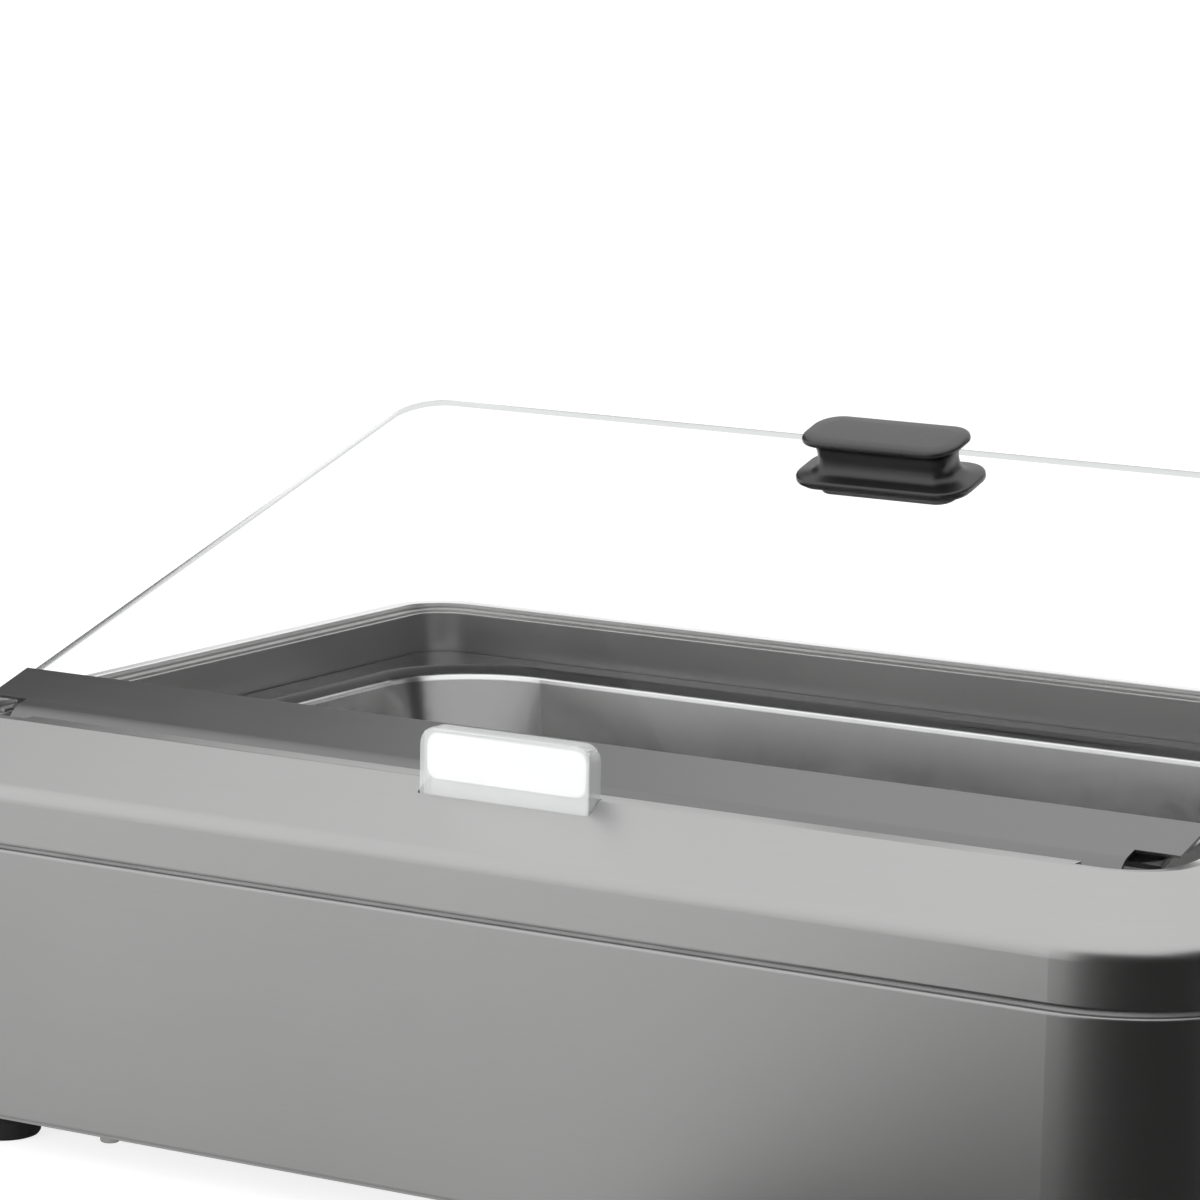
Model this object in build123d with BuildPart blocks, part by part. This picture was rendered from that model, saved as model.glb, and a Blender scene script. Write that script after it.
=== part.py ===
import math
import os

from build123d import *

# Electric chafing dish for one full-size food pan, with a hinged glass lid.
# X runs along the dish, -Y is the guests' side with the hinge and the label,
# +Y is the server's side with the controls, +Z is up and Z = 0 is the counter.
# Origin: middle of the footprint, on the counter.

# Food pan and water basin
pan_length = 530.0
pan_width = 325.0
pan_height = 65.0
pan_flange = 12.5
pan_flange_drop = 5.5
pan_flange_radius = 18.0
pan_corner_radius = 52.0
pan_taper = 12.0
pan_floor_radius = 10.0
basin_floor_radius = 12.0
pan_wall = 0.8
basin_height = 100.0
basin_flange = 12.0
basin_flange_drop = 4.0
basin_taper = 4.0
basin_wall = 1.0
deck_lip = 11.5
basin_corner_radius = 50.0

# Top frame, one pressed sheet round the pan well
sheet = 1.2
lip_width = 10.0
crest_radius = 28.0
crest_edge_radius = 1.8
fold_radius = 0.6
ledge_fold_radius = 1.3
flange_fold_radius = 1.5
ledge_width = 5.0
ledge_drop = 3.9
recess_depth = 24.0
pan_gap = 1.0
hinge_zone = 18.0
slope_run = 35.0
slope_drop = 22.0
soft_radius = 8.0
skirt_drop = 44.0
flange_width = 11.0
seam_gap = 1.6
seam_inset = 2.2

# Lower housing, base and feet
base_sheet = 1.5
base_margin = 3.0
foot_height = 22.0
foot_top_radius = 19.0
foot_bottom_radius = 16.0
foot_inset = 52.0
foot_seat = 8.0
foot_round = 2.0
vent_length = 46.0
vent_width = 5.0
vent_pitch = 12.0
vent_count = 6
vent_offset = 120.0
vent_side_length = 90.0
vent_z = 60.0
screw_pitch_x = 170.0
screw_pitch_y = 130.0
screw_shank = 4.0
screw_head = 8.0
screw_head_height = 2.2
screw_head_chamfer = 0.6
head_clearance = 1.0
hole_clearance = 0.2

# Lid and hinge, seen with the lid lying flat: v from the hinge axis towards the knob, w up from the axis
lid_rest_angle = 16.85
hinge_inset = 22.0
hinge_axis_drop = 8.2
hinge_spacing = 300.0
knuckle_radius = 4.0
knuckle_length = 22.0
knuckle_web = 1.0
pin_radius = 2.0
pin_clearance = 0.05
ear_thickness = 3.0
ear_radius = 5.4
ear_gap = 0.3
bracket_length = 64.0
bracket_base = 2.0
bracket_corner = 2.0
leaf_bottom = 2.8
leaf_thickness = 2.0
leaf_start = 6.5
leaf_end = 31.0
pad_thickness = 0.8
glass_thickness = 4.0
glass_start = 4.5
glass_inset = 7.0
glass_corner_gap = 0.5
rail_sheet = 1.2
rail_end = 31.5
rail_relief = 5.5
rail_overhang = 2.0
rail_nose_angle = 70.0
rail_trim = 2.0
stud_count = 6
stud_pitch = 92.0
stud_v = 20.0
stud_radius = 2.0
stud_tip = 0.0
leaf_side_gap = 4.0
bracket_clearance = 0.5
pin_end = 1.4
pin_head_radius = 3.2
pin_chamfer = 0.4
glass_hole_radius = 3.6

# Lid handle, a flat spool
handle_from_edge = 39.0
handle_base_length = 84.0
handle_base_width = 36.0
handle_base_height = 3.4
handle_top_length = 75.0
handle_top_width = 31.0
handle_top_height = 3.0
handle_waist_length = 64.0
handle_waist_width = 20.0
handle_height = 21.0
handle_corner_ratio = 0.36
handle_flare_low = 10.0
handle_flare_high = 6.0
handle_waist_height = 9.5
handle_round = 1.2
washer_inset = 2.0
handle_washer = 1.0
handle_screw_pitch = 40.0
handle_screw_radius = 2.5
handle_screw_depth = 12.0
handle_screw_gap = 1.0
handle_screw_head = 9.0
handle_backing = 1.5

# Label holder in its pocket in the guests' side of the frame
label_width = 77.0
label_thickness = 9.5
label_height = 37.0
label_top = 21.5
label_outset = 7.5
label_wall = 2.0
label_round = 7.0
label_clearance = 0.5
label_edge_round = 1.0
card_thickness = 0.4
card_height = 18.0
card_lift = 1.0
card_clearance = 0.5
label_seat_gap = 0.3
weld_gap = 0.25
gasket_thickness = 1.0
gasket_margin = 0.2
pocket_sheet = 1.0
pocket_floor = 1.2
slot_corner = 1.0

# Controls, in a recessed tray in the server's side
tray_length = 220.0
tray_height = 66.0
tray_depth = 24.0
tray_centre = 76.0
tray_flange = 9.0
tray_sheet = 1.2
tray_radius = 7.0
tray_screw_head = 6.4
tray_screw_length = 6.0
dial_end_gap = 44.0
dial_radius = 19.0
dial_height = 18.0
dial_gap = 0.6
dial_skirt_height = 5.0
dial_roof = 2.0
dial_flutes = 18
dial_flute_radius = 1.3
dial_flute_inset = 2.6
dial_grip_inset = 3.0
dial_grip_taper = 4.0
dial_round = 1.2
shaft_depth = 12.0
shaft_radius = 3.0
shaft_clearance = 0.05
thermostat_size = (42.0, 38.0, 22.0)
thermostat_corner = 3.0
bush_wall = 1.3
switch_x = 12.0
switch_size = (22.0, 30.0)
switch_bezel = 2.0
switch_lap = 1.0
switch_corner = 1.5
switch_tab = (6.3, 0.8)
switch_tab_pitch = 8.0
switch_tab_length = 8.0
switch_depth = 20.0
rocker_width = 17.0
rocker_radius = 12.6
rocker_angle = 11.0
rocker_gap = 0.4
rocker_pivot_drop = 2.0
rocker_bottom = 9.0
rocker_pin_radius = 1.2
rocker_rise = 3.4
rocker_dip = 1.4
rocker_trunnion = 1.0
cavity_depth = 13.0
lamp_x = -16.0
lamp_radius = 5.5
lamp_depth = 20.0
lamp_lens_height = 4.0
lamp_lap = 1.0
lamp_round = 1.4
lamp_nut_margin = 2.0
lamp_nut_height = 2.5
inlet_end_gap = 48.0
inlet_size = (48.0, 24.0)
inlet_flange = 2.0
inlet_corner = 4.0
inlet_key = 4.0
inlet_pin_pitch = 7.0
inlet_pin_size = (2.0, 4.0)
inlet_pin_rise = 4.0
inlet_pin_recess = 4.5
inlet_cavity = (24.5, 16.5)
inlet_depth = 22.0
inlet_cavity_depth = 16.0
inlet_body_inset = (10.0, 1.5)
inlet_screw_radius = 1.75
inlet_screw_head = 3.3
inlet_screw_head_height = 1.6
inlet_screw_tail = 4.0
inlet_screw_inset = 3.8

# Heating parts under the basin
element_radius = 4.0
element_bend = 36.0
element_run = 340.0
element_passes = 4
clamp_bar_thickness = 2.0
clamp_bar_width = 14.0
clamp_bar_spacing = 220.0
board_length = 460.0
board_width = 270.0
board_thickness = 12.0
board_gap = 0.8
shield_sheet = 1.0
shield_clearance = 6.3
shield_rim = 12.0
basin_stud_radius = 2.5
basin_stud_pitch = 170.0
nut_radius = 4.6
nut_height = 3.2
element_gap = 0.2
element_tail = 34.0
cutout_x = 60.0
cutout_radius = 11.0
cutout_cap = 4.0
cutout_body = 3.0
cutout_tab = 4.0
cutout_step = 2.0
cutout_blade = (0.8, 5.0)
terminal_place = (-266.0, 100.0)
terminal_size = (56.0, 22.0, 18.0)
terminal_pitch = 10.0
terminal_ways = 5
terminal_corner = 2.0
terminal_hole_radius = 2.4
terminal_hole_depth = 9.0

# Places that follow from the sizes above
screw_hole = screw_shank / 2 + hole_clearance
stud_hole = stud_radius + hole_clearance
basin_stud_hole = basin_stud_radius + hole_clearance
recess_length = pan_length + 2 * pan_gap
recess_width = pan_width + pan_gap + hinge_zone
crest_length = recess_length + 2 * lip_width
crest_width = recess_width + 2 * lip_width
body_length = crest_length + 2 * slope_run
body_width = crest_width + 2 * slope_run
body_radius = crest_radius + slope_run
pan_y = recess_width / 2 - pan_gap - pan_width / 2
base_height = foot_height + base_sheet
shield_bottom = base_height + shield_clearance
board_bottom = shield_bottom + shield_sheet
board_top = board_bottom + board_thickness
clamp_z = board_top + board_gap + nut_height
element_z = clamp_z + clamp_bar_thickness + element_radius
basin_bottom = element_z + element_radius + element_gap
deck_top = basin_bottom + basin_height - basin_wall
crest_height = deck_top + recess_depth
frame_bottom = crest_height - skirt_drop
housing_top = frame_bottom - seam_gap
flange_line = slope_run - sheet - flange_width / 2
axis_y = -crest_width / 2 + hinge_inset
axis_z = crest_height - hinge_axis_drop
pad_bottom = leaf_bottom + leaf_thickness
glass_bottom = pad_bottom + pad_thickness
glass_top = glass_bottom + glass_thickness
rail_top = glass_top + rail_sheet
glass_corner_radius = crest_radius - glass_inset - glass_corner_gap
recess_radius = crest_radius - lip_width
hinge_wall_gap = hinge_inset - lip_width - rail_top
nose_half = (
    recess_length / 2
    - recess_radius
    + math.sqrt(recess_radius**2 - (recess_radius - hinge_wall_gap) ** 2)
    - rail_trim
)
glass_end = crest_width - hinge_inset - glass_inset
glass_half = crest_length / 2 - glass_inset
handle_v = glass_end - handle_from_edge
handle_bottom = glass_top + handle_washer
backing_bottom = glass_bottom - handle_backing
handle_screws = [(side * handle_screw_pitch / 2, handle_v) for side in (-1, 1)]
handle_sections = [
    (handle_base_height, handle_waist_length + handle_flare_low, handle_waist_width + handle_flare_low),
    (handle_waist_height, handle_waist_length, handle_waist_width),
    (
        handle_height - handle_top_height,
        handle_waist_length + handle_flare_high,
        handle_waist_width + handle_flare_high,
    ),
]
leaf_length = recess_length - 2 * leaf_side_gap
gasket_outer = ledge_width + ledge_fold_radius + gasket_margin
gasket_inner = lip_width - fold_radius - gasket_margin
studs = [((number - (stud_count - 1) / 2) * stud_pitch, stud_v) for number in range(stud_count)]
tray_face = body_width / 2 - tray_depth
well_length = pan_length - 2 * deck_lip
well_width = pan_width - 2 * deck_lip
label_front = -crest_width / 2 - label_outset
label_y = label_front + label_thickness / 2
label_bottom = crest_height + label_top - label_height
card_bottom = crest_height + card_lift
slot_length = label_width + 2 * label_clearance
slot_width = label_thickness + 2 * label_clearance
pocket_bottom = label_bottom - label_seat_gap - pocket_floor
pocket_front = label_front - label_clearance - pocket_sheet
pocket_back = label_front + label_thickness + label_clearance + pocket_sheet
band_sheet_drop = sheet * math.hypot(slope_run, slope_drop) / slope_run + weld_gap
bracket_screw_x = bracket_length / 2 - screw_head
bracket_y = -recess_width / 2 + hinge_zone / 2
hinge_xs = (-hinge_spacing / 2, hinge_spacing / 2)
bracket_screws = [(x + side * bracket_screw_x, bracket_y) for x in hinge_xs for side in (-1, 1)]
foot_x_line = body_length / 2 - foot_inset
foot_y_line = body_width / 2 - foot_inset
foot_points = [(x, y) for x in (-foot_x_line, foot_x_line) for y in (-foot_y_line, foot_y_line)]
switch_cut = (switch_size[0] - 2 * switch_lap, switch_size[1] - 2 * switch_lap)
inlet_body = (inlet_size[0] - 2 * inlet_body_inset[0], inlet_size[1] - 2 * inlet_body_inset[1])
dial_x = tray_length / 2 - dial_end_gap
inlet_x = inlet_end_gap - tray_length / 2
inlet_screws = [(inlet_x + side * (inlet_size[0] / 2 - inlet_screw_inset), 0) for side in (-1, 1)]
tray_screw_x = tray_length / 2 + tray_flange / 2
tray_screw_ys = (-tray_height / 3, tray_height / 3)
tray_screws = [(side * tray_screw_x, y) for side in (-1, 1) for y in tray_screw_ys]
basin_stud_ys = (pan_y - basin_stud_pitch / 2, pan_y + basin_stud_pitch / 2)
basin_studs = [(side * clamp_bar_spacing / 2, y) for side in (-1, 1) for y in basin_stud_ys]

lid_plane = Plane(
    origin=(0, axis_y, axis_z),
    x_dir=(1, 0, 0),
    z_dir=(0, -math.sin(math.radians(lid_rest_angle)), math.cos(math.radians(lid_rest_angle))),
)
lid_section = Plane(
    origin=(0, axis_y, axis_z),
    x_dir=(0, math.cos(math.radians(lid_rest_angle)), math.sin(math.radians(lid_rest_angle))),
    z_dir=(1, 0, 0),
)
rear_plane = Plane(origin=(0, tray_face, tray_centre), x_dir=(-1, 0, 0), z_dir=(0, 1, 0))

os.makedirs("parts", exist_ok=True)


def save(piece, name):
    piece.label = name
    export_step(piece, f"parts/{name}.step")


def half_ring(length, width, radius, height):
    """Half of a rounded rectangle, from the middle of the -Y side to the middle of the +Y side."""
    with BuildLine(Plane.XY.offset(height)) as ring:
        Line((0, -width / 2), (length / 2 - radius, -width / 2))
        CenterArc((length / 2 - radius, -width / 2 + radius), radius, -90, 90)
        Line((length / 2, -width / 2 + radius), (length / 2, width / 2 - radius))
        CenterArc((length / 2 - radius, width / 2 - radius), radius, 0, 90)
        Line((length / 2 - radius, width / 2), (0, width / 2))
    return ring.wire()


def band_height(y):
    """Height of the sloping band on the guests' side."""
    return crest_height - slope_drop / slope_run * (-y - crest_width / 2)


def section_plane(height):
    """Plane across the rim at the middle of the -Y side: x runs outwards, y runs up."""
    return Plane(origin=(0, -crest_width / 2, height), x_dir=(0, -1, 0), z_dir=(-1, 0, 0))


def flange_points():
    """Screw places along the joining flanges, the same for the frame, the seal and the housing."""
    x_line = crest_length / 2 + flange_line
    y_line = crest_width / 2 + flange_line
    points = []
    for side in (-1, 1):
        for step in (-1, 0, 1):
            points.append((step * screw_pitch_x, side * y_line))
        for step in (-0.5, 0.5):
            points.append((side * x_line, step * screw_pitch_y))
    return points


# Top frame: ledge, crest, sloping band, skirt and joining flange in one section
with BuildPart() as top_frame:
    with BuildSketch(section_plane(crest_height)):
        with BuildLine():
            FilletPolyline(
                (-lip_width, -recess_depth),
                (-lip_width, -ledge_drop),
                (-ledge_width, -ledge_drop),
                (-ledge_width, 0),
                (0, 0),
                (slope_run, -slope_drop),
                (slope_run, -skirt_drop),
                (slope_run - flange_width, -skirt_drop),
                radius=[
                    fold_radius,
                    ledge_fold_radius,
                    fold_radius,
                    crest_edge_radius,
                    soft_radius,
                    flange_fold_radius,
                ],
            )
            offset(amount=sheet, side=Side.RIGHT)
        make_face()
    sweep(path=half_ring(crest_length, crest_width, crest_radius, crest_height))
    mirror(about=Plane.YZ)
    with BuildSketch(Plane.XY.offset(deck_top - sheet)):
        RectangleRounded(
            recess_length + 2 * sheet, recess_width + 2 * sheet, crest_radius - lip_width + sheet
        )
        with Locations((0, pan_y)):
            RectangleRounded(well_length, well_width, basin_corner_radius, mode=Mode.SUBTRACT)
    extrude(amount=sheet)
    # the guests' side has no ledge: its crest runs flat to the edge of the well
    with BuildSketch(Plane.XY.offset(crest_height - ledge_drop)):
        with Locations((0, -crest_width / 2 + lip_width)):
            Rectangle(
                recess_length - 2 * crest_radius,
                lip_width - ledge_width + sheet,
                align=(Align.CENTER, Align.MAX),
            )
    extrude(amount=ledge_drop)
    with BuildSketch(Plane.XY.offset(crest_height)):
        with Locations((0, label_y)):
            RectangleRounded(slot_length, slot_width, slot_corner)
    extrude(amount=-slope_drop, mode=Mode.SUBTRACT)
    with Locations(*[Pos(x, y, deck_top) for x, y in bracket_screws]):
        Hole(screw_hole, depth=2 * sheet)
    with Locations(*[Pos(x, y, frame_bottom) for x, y in flange_points()]):
        Hole(screw_hole, depth=2 * sheet)
save(top_frame.part, "top_frame")

# Silicone strip on the ledge, under the closed glass, on the three sides that have a ledge
with BuildPart() as ledge_gasket:
    with BuildSketch(Plane.XY.offset(crest_height - ledge_drop)):
        for inset, mode in ((gasket_outer, Mode.ADD), (gasket_inner, Mode.SUBTRACT)):
            RectangleRounded(
                crest_length - 2 * inset, crest_width - 2 * inset, crest_radius - inset, mode=mode
            )
        with Locations((0, -crest_width / 2)):
            Rectangle(crest_length, crest_radius, align=(Align.CENTER, Align.MIN), mode=Mode.SUBTRACT)
    extrude(amount=gasket_thickness)
save(ledge_gasket.part, "ledge_gasket")

# Pocket that holds the foot of the label holder, welded under the sloping band
with BuildPart() as label_pocket:
    with BuildSketch(Plane.YZ):
        with BuildLine():
            Polyline(
                (pocket_front, pocket_bottom),
                (pocket_back, pocket_bottom),
                (pocket_back, crest_height - sheet - weld_gap),
                (-crest_width / 2, crest_height - sheet - weld_gap),
                (pocket_front, band_height(pocket_front) - band_sheet_drop),
                close=True,
            )
        make_face()
    extrude(amount=slot_length / 2 + pocket_sheet, both=True)
    with BuildSketch(Plane.XY.offset(pocket_bottom + pocket_floor)):
        with Locations((0, label_y)):
            RectangleRounded(slot_length, slot_width, slot_corner)
    extrude(amount=slope_drop, mode=Mode.SUBTRACT)
save(label_pocket.part, "label_pocket")

# Lower housing with its two joining flanges, air slots and the opening for the control tray
with BuildPart() as outer_housing:
    with BuildSketch(section_plane(crest_height)):
        with BuildLine():
            FilletPolyline(
                (slope_run - flange_width, housing_top - crest_height),
                (slope_run, housing_top - crest_height),
                (slope_run, base_height - crest_height),
                (slope_run - flange_width, base_height - crest_height),
                radius=flange_fold_radius,
            )
            offset(amount=sheet, side=Side.RIGHT)
        make_face()
    sweep(path=half_ring(crest_length, crest_width, crest_radius, crest_height))
    mirror(about=Plane.YZ)
    with BuildSketch(rear_plane.offset(tray_depth)):
        RectangleRounded(tray_length, tray_height, tray_radius)
    extrude(amount=-2 * sheet, mode=Mode.SUBTRACT)
    with Locations(*[rear_plane.offset(tray_depth) * Pos(x, y) for x, y in tray_screws]):
        CounterSinkHole(screw_hole, tray_screw_head / 2 + hole_clearance, depth=2 * sheet)
    with BuildSketch(Plane.YZ.offset(body_length / 2)):
        with Locations((pan_y, vent_z)):
            with GridLocations(0, vent_pitch, 1, 3):
                SlotOverall(vent_side_length, vent_width)
    extrude(amount=-body_length, mode=Mode.SUBTRACT)
    with Locations(*[Pos(x, y, housing_top) for x, y in flange_points()]):
        Hole(screw_hole, depth=2 * sheet)
    with Locations(*[Pos(x, y, base_height + sheet) for x, y in flange_points()]):
        Hole(screw_hole, depth=2 * sheet)
save(outer_housing.part, "outer_housing")

# Dark seal that shows as the thin line between frame and housing
with BuildPart() as seam_seal:
    with BuildSketch(Plane.XY.offset(housing_top)):
        RectangleRounded(body_length - 2 * seam_inset, body_width - 2 * seam_inset, body_radius - seam_inset)
        RectangleRounded(
            body_length - 2 * flange_width,
            body_width - 2 * flange_width,
            body_radius - flange_width,
            mode=Mode.SUBTRACT,
        )
        with Locations(*flange_points()):
            Circle(screw_hole, mode=Mode.SUBTRACT)
    extrude(amount=seam_gap)
save(seam_seal.part, "seam_seal")

# Base plate with air slots
with BuildPart() as base_plate:
    with BuildSketch(Plane.XY.offset(base_height - base_sheet)):
        RectangleRounded(
            body_length - 2 * base_margin, body_width - 2 * base_margin, body_radius - base_margin
        )
        for side in (-1, 1):
            with Locations((side * vent_offset, pan_y)):
                with GridLocations(0, vent_pitch, 1, vent_count):
                    SlotOverall(vent_length, vent_width, mode=Mode.SUBTRACT)
        with Locations(*flange_points(), *foot_points):
            Circle(screw_hole, mode=Mode.SUBTRACT)
    extrude(amount=base_sheet)
save(base_plate.part, "base_plate")


def make_screw(points, head_plane, length, name):
    """Pan-head screws at the points of a plane; heads stand out of the plane, shanks go in."""
    with BuildPart() as screws:
        with BuildSketch(head_plane):
            with Locations(*points):
                Circle(screw_head / 2)
        extrude(amount=screw_head_height)
        chamfer(screws.edges().group_by(Axis(head_plane.origin, head_plane.z_dir))[-1], screw_head_chamfer)
        with BuildSketch(head_plane):
            with Locations(*points):
                Circle(screw_shank / 2)
        extrude(amount=-length)
    save(screws.part, name)
    return screws


def make_nuts(points, plane, height, radius, bore, name):
    """Hexagon nuts that stand on a plane."""
    with BuildPart() as nuts:
        with BuildSketch(plane):
            with Locations(*points):
                RegularPolygon(radius, 6)
                Circle(bore, mode=Mode.SUBTRACT)
        extrude(amount=height)
    save(nuts.part, name)
    return nuts


# Screws that join frame, seal and housing, with their nuts on the frame's flange
down_from_housing = Plane(origin=(0, 0, housing_top - sheet), x_dir=(1, 0, 0), z_dir=(0, 0, -1))
flipped_points = [(x, -y) for x, y in flange_points()]
make_screw(flipped_points, down_from_housing, 2 * sheet + seam_gap + nut_height, "frame_screws")
make_nuts(
    flange_points(),
    Plane.XY.offset(frame_bottom + sheet),
    nut_height,
    nut_radius,
    screw_hole,
    "frame_nuts",
)

# Screws that hold the base plate to the housing
under_base = Plane(origin=(0, 0, base_height - base_sheet), x_dir=(1, 0, 0), z_dir=(0, 0, -1))
make_screw(flipped_points, under_base, base_sheet + sheet + nut_height, "base_screws")
make_nuts(
    flange_points(),
    Plane.XY.offset(base_height + sheet),
    nut_height,
    nut_radius,
    screw_hole,
    "base_nuts",
)

# Rubber feet with sunk screws
for number, (foot_x, foot_y) in enumerate(foot_points, start=1):
    with BuildPart() as foot:
        with BuildSketch(Plane.XZ.offset(-foot_y)):
            with BuildLine():
                Polyline(
                    (foot_x, foot_height),
                    (foot_x, 0),
                    (foot_x + foot_bottom_radius, 0),
                    (foot_x + foot_top_radius, foot_height),
                    close=True,
                )
            make_face()
        revolve(axis=Axis((foot_x, foot_y, 0), (0, 0, 1)))
        fillet(foot.edges().group_by(Axis.Z)[0], foot_round)
        with Locations(Plane(origin=(foot_x, foot_y, 0), x_dir=(1, 0, 0), z_dir=(0, 0, -1))):
            CounterBoreHole(
                screw_hole, screw_head / 2 + head_clearance, foot_height - foot_seat, depth=foot_height
            )
    save(foot.part, f"foot_{number}")
foot_seat_plane = Plane(origin=(0, 0, foot_height - foot_seat), x_dir=(1, 0, 0), z_dir=(0, 0, -1))
make_screw(
    [(x, -y) for x, y in foot_points],
    foot_seat_plane,
    foot_seat + base_sheet + nut_height,
    "foot_screws",
)
make_nuts(
    foot_points,
    Plane.XY.offset(base_height),
    nut_height,
    nut_radius,
    screw_hole,
    "foot_nuts",
)


def drawn_pan(top, height, flange, drop, corner, taper, floor_radius, wall):
    """Deep-drawn pan: flat flange, rounded edge, tapered walls and rounded floor."""
    with BuildPart() as pan:
        with BuildSketch(Plane.XY.offset(top - wall)):
            with Locations((0, pan_y)):
                RectangleRounded(pan_length, pan_width, pan_flange_radius)
        extrude(amount=wall)
        for inward, mode in ((0, Mode.ADD), (wall, Mode.SUBTRACT)):
            opening_length = pan_length - 2 * (flange + drop) - 2 * inward + 2 * wall
            opening_width = pan_width - 2 * (flange + drop) - 2 * inward + 2 * wall
            with BuildSketch(Plane.XY.offset(top - height + inward)):
                with Locations((0, pan_y)):
                    RectangleRounded(opening_length - 2 * taper, opening_width - 2 * taper, corner - inward)
            with BuildSketch(Plane.XY.offset(top)):
                with Locations((0, pan_y)):
                    RectangleRounded(opening_length, opening_width, corner - inward)
            loft(ruled=True, mode=mode)
        level_faces = pan.faces().filter_by(Axis.Z).sort_by(Axis.Z)
        fillet(level_faces[1].edges(), floor_radius - wall)
        level_faces = pan.faces().filter_by(Axis.Z).sort_by(Axis.Z)
        fillet(level_faces[0].edges(), floor_radius)
        level_faces = pan.faces().filter_by(Axis.Z).sort_by(Axis.Z)
        fillet(level_faces[-1].inner_wires()[0].edges(), drop)
        level_faces = pan.faces().filter_by(Axis.Z).sort_by(Axis.Z)
        fillet(level_faces[-2].inner_wires()[0].edges(), drop - wall)
    return pan


# Water basin, hung in the deck by its flange, with studs welded under its floor
with BuildPart() as water_basin:
    add(
        drawn_pan(
            deck_top + basin_wall,
            basin_height,
            basin_flange,
            basin_flange_drop,
            basin_corner_radius,
            basin_taper,
            basin_floor_radius,
            basin_wall,
        ).part
    )
    with BuildSketch(Plane.XY.offset(basin_bottom)):
        with Locations(*basin_studs):
            Circle(basin_stud_radius)
    extrude(amount=-(basin_bottom - shield_bottom + nut_height))
save(water_basin.part, "water_basin")

with BuildPart() as food_pan:
    add(
        drawn_pan(
            deck_top + basin_wall + pan_wall,
            pan_height,
            pan_flange,
            pan_flange_drop,
            pan_corner_radius,
            pan_taper,
            pan_floor_radius,
            pan_wall,
        ).part
    )
save(food_pan.part, "food_pan")

# Tubular heating element, one tube bent into level passes
with BuildPart() as heating_element:
    with BuildLine(Plane.XY.offset(element_z)) as element_path:
        first_y = pan_y - element_bend * (element_passes - 1) / 2
        Line((-element_run / 2 - element_tail, first_y), (-element_run / 2, first_y))
        for number in range(element_passes):
            run_y = first_y + number * element_bend
            side = 1 if number % 2 == 0 else -1
            Line((-side * element_run / 2, run_y), (side * element_run / 2, run_y))
            if number < element_passes - 1:
                bend_centre = (side * element_run / 2, run_y + element_bend / 2)
                CenterArc(bend_centre, element_bend / 2, -90, side * 180)
        Line((-element_run / 2, run_y), (-element_run / 2 - element_tail, run_y))
    with BuildSketch(Plane(origin=element_path.wire() @ 0, z_dir=(1, 0, 0))):
        Circle(element_radius)
    sweep(path=element_path.wire())
save(heating_element.part, "heating_element")

# Two bars that press the element against the basin
for number, side in enumerate((-1, 1), start=1):
    with BuildPart() as clamp_bar:
        with BuildSketch(Plane.XY.offset(clamp_z)):
            with Locations((side * clamp_bar_spacing / 2, pan_y)):
                SlotOverall(basin_stud_pitch + clamp_bar_width, clamp_bar_width, rotation=90)
                with GridLocations(0, basin_stud_pitch, 1, 2):
                    Circle(basin_stud_hole, mode=Mode.SUBTRACT)
        extrude(amount=clamp_bar_thickness)
    save(clamp_bar.part, f"clamp_bar_{number}")
make_nuts(
    basin_studs,
    Plane.XY.offset(clamp_z - nut_height),
    nut_height,
    nut_radius,
    basin_stud_hole,
    "clamp_nuts",
)

# Insulation board and the tray-shaped heat shield that carries it
with BuildPart() as insulation_board:
    with BuildSketch(Plane.XY.offset(board_bottom)):
        with Locations((0, pan_y)):
            RectangleRounded(board_length, board_width, shield_rim)
        with Locations(*basin_studs):
            Circle(basin_stud_hole, mode=Mode.SUBTRACT)
    extrude(amount=board_thickness)
save(insulation_board.part, "insulation_board")

with BuildPart() as heat_shield:
    with BuildSketch(Plane.XY.offset(shield_bottom)):
        with Locations((0, pan_y)):
            RectangleRounded(
                board_length + 2 * (board_gap + shield_sheet),
                board_width + 2 * (board_gap + shield_sheet),
                shield_rim + board_gap + shield_sheet,
            )
    extrude(amount=shield_rim + shield_sheet)
    with BuildSketch(Plane.XY.offset(board_bottom)):
        with Locations((0, pan_y)):
            RectangleRounded(
                board_length + 2 * board_gap, board_width + 2 * board_gap, shield_rim + board_gap
            )
    extrude(amount=shield_rim, mode=Mode.SUBTRACT)
    with Locations(*[Pos(x, y, board_bottom) for x, y in basin_studs]):
        Hole(basin_stud_hole, depth=shield_sheet)
save(heat_shield.part, "heat_shield")
make_nuts(
    basin_studs,
    Plane.XY.offset(shield_bottom - nut_height),
    nut_height,
    nut_radius,
    basin_stud_hole,
    "shield_nuts",
)

# Button-shaped safety cutout against the basin floor, between the element's middle passes
with BuildPart() as safety_cutout:
    with BuildSketch(Plane.XY.offset(basin_bottom - element_gap)):
        with Locations((cutout_x, pan_y)):
            Circle(cutout_radius)
    extrude(amount=-cutout_cap)
    with BuildSketch(Plane.XY.offset(basin_bottom - element_gap - cutout_cap)):
        with Locations((cutout_x, pan_y)):
            Circle(cutout_radius - cutout_step)
    extrude(amount=-cutout_body)
    with BuildSketch(Plane.XY.offset(basin_bottom - element_gap - cutout_cap - cutout_body)):
        with Locations((cutout_x, pan_y)):
            with GridLocations(cutout_radius, 0, 2, 1):
                Rectangle(*cutout_blade)
    extrude(amount=-cutout_tab)
save(safety_cutout.part, "safety_cutout")

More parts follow.
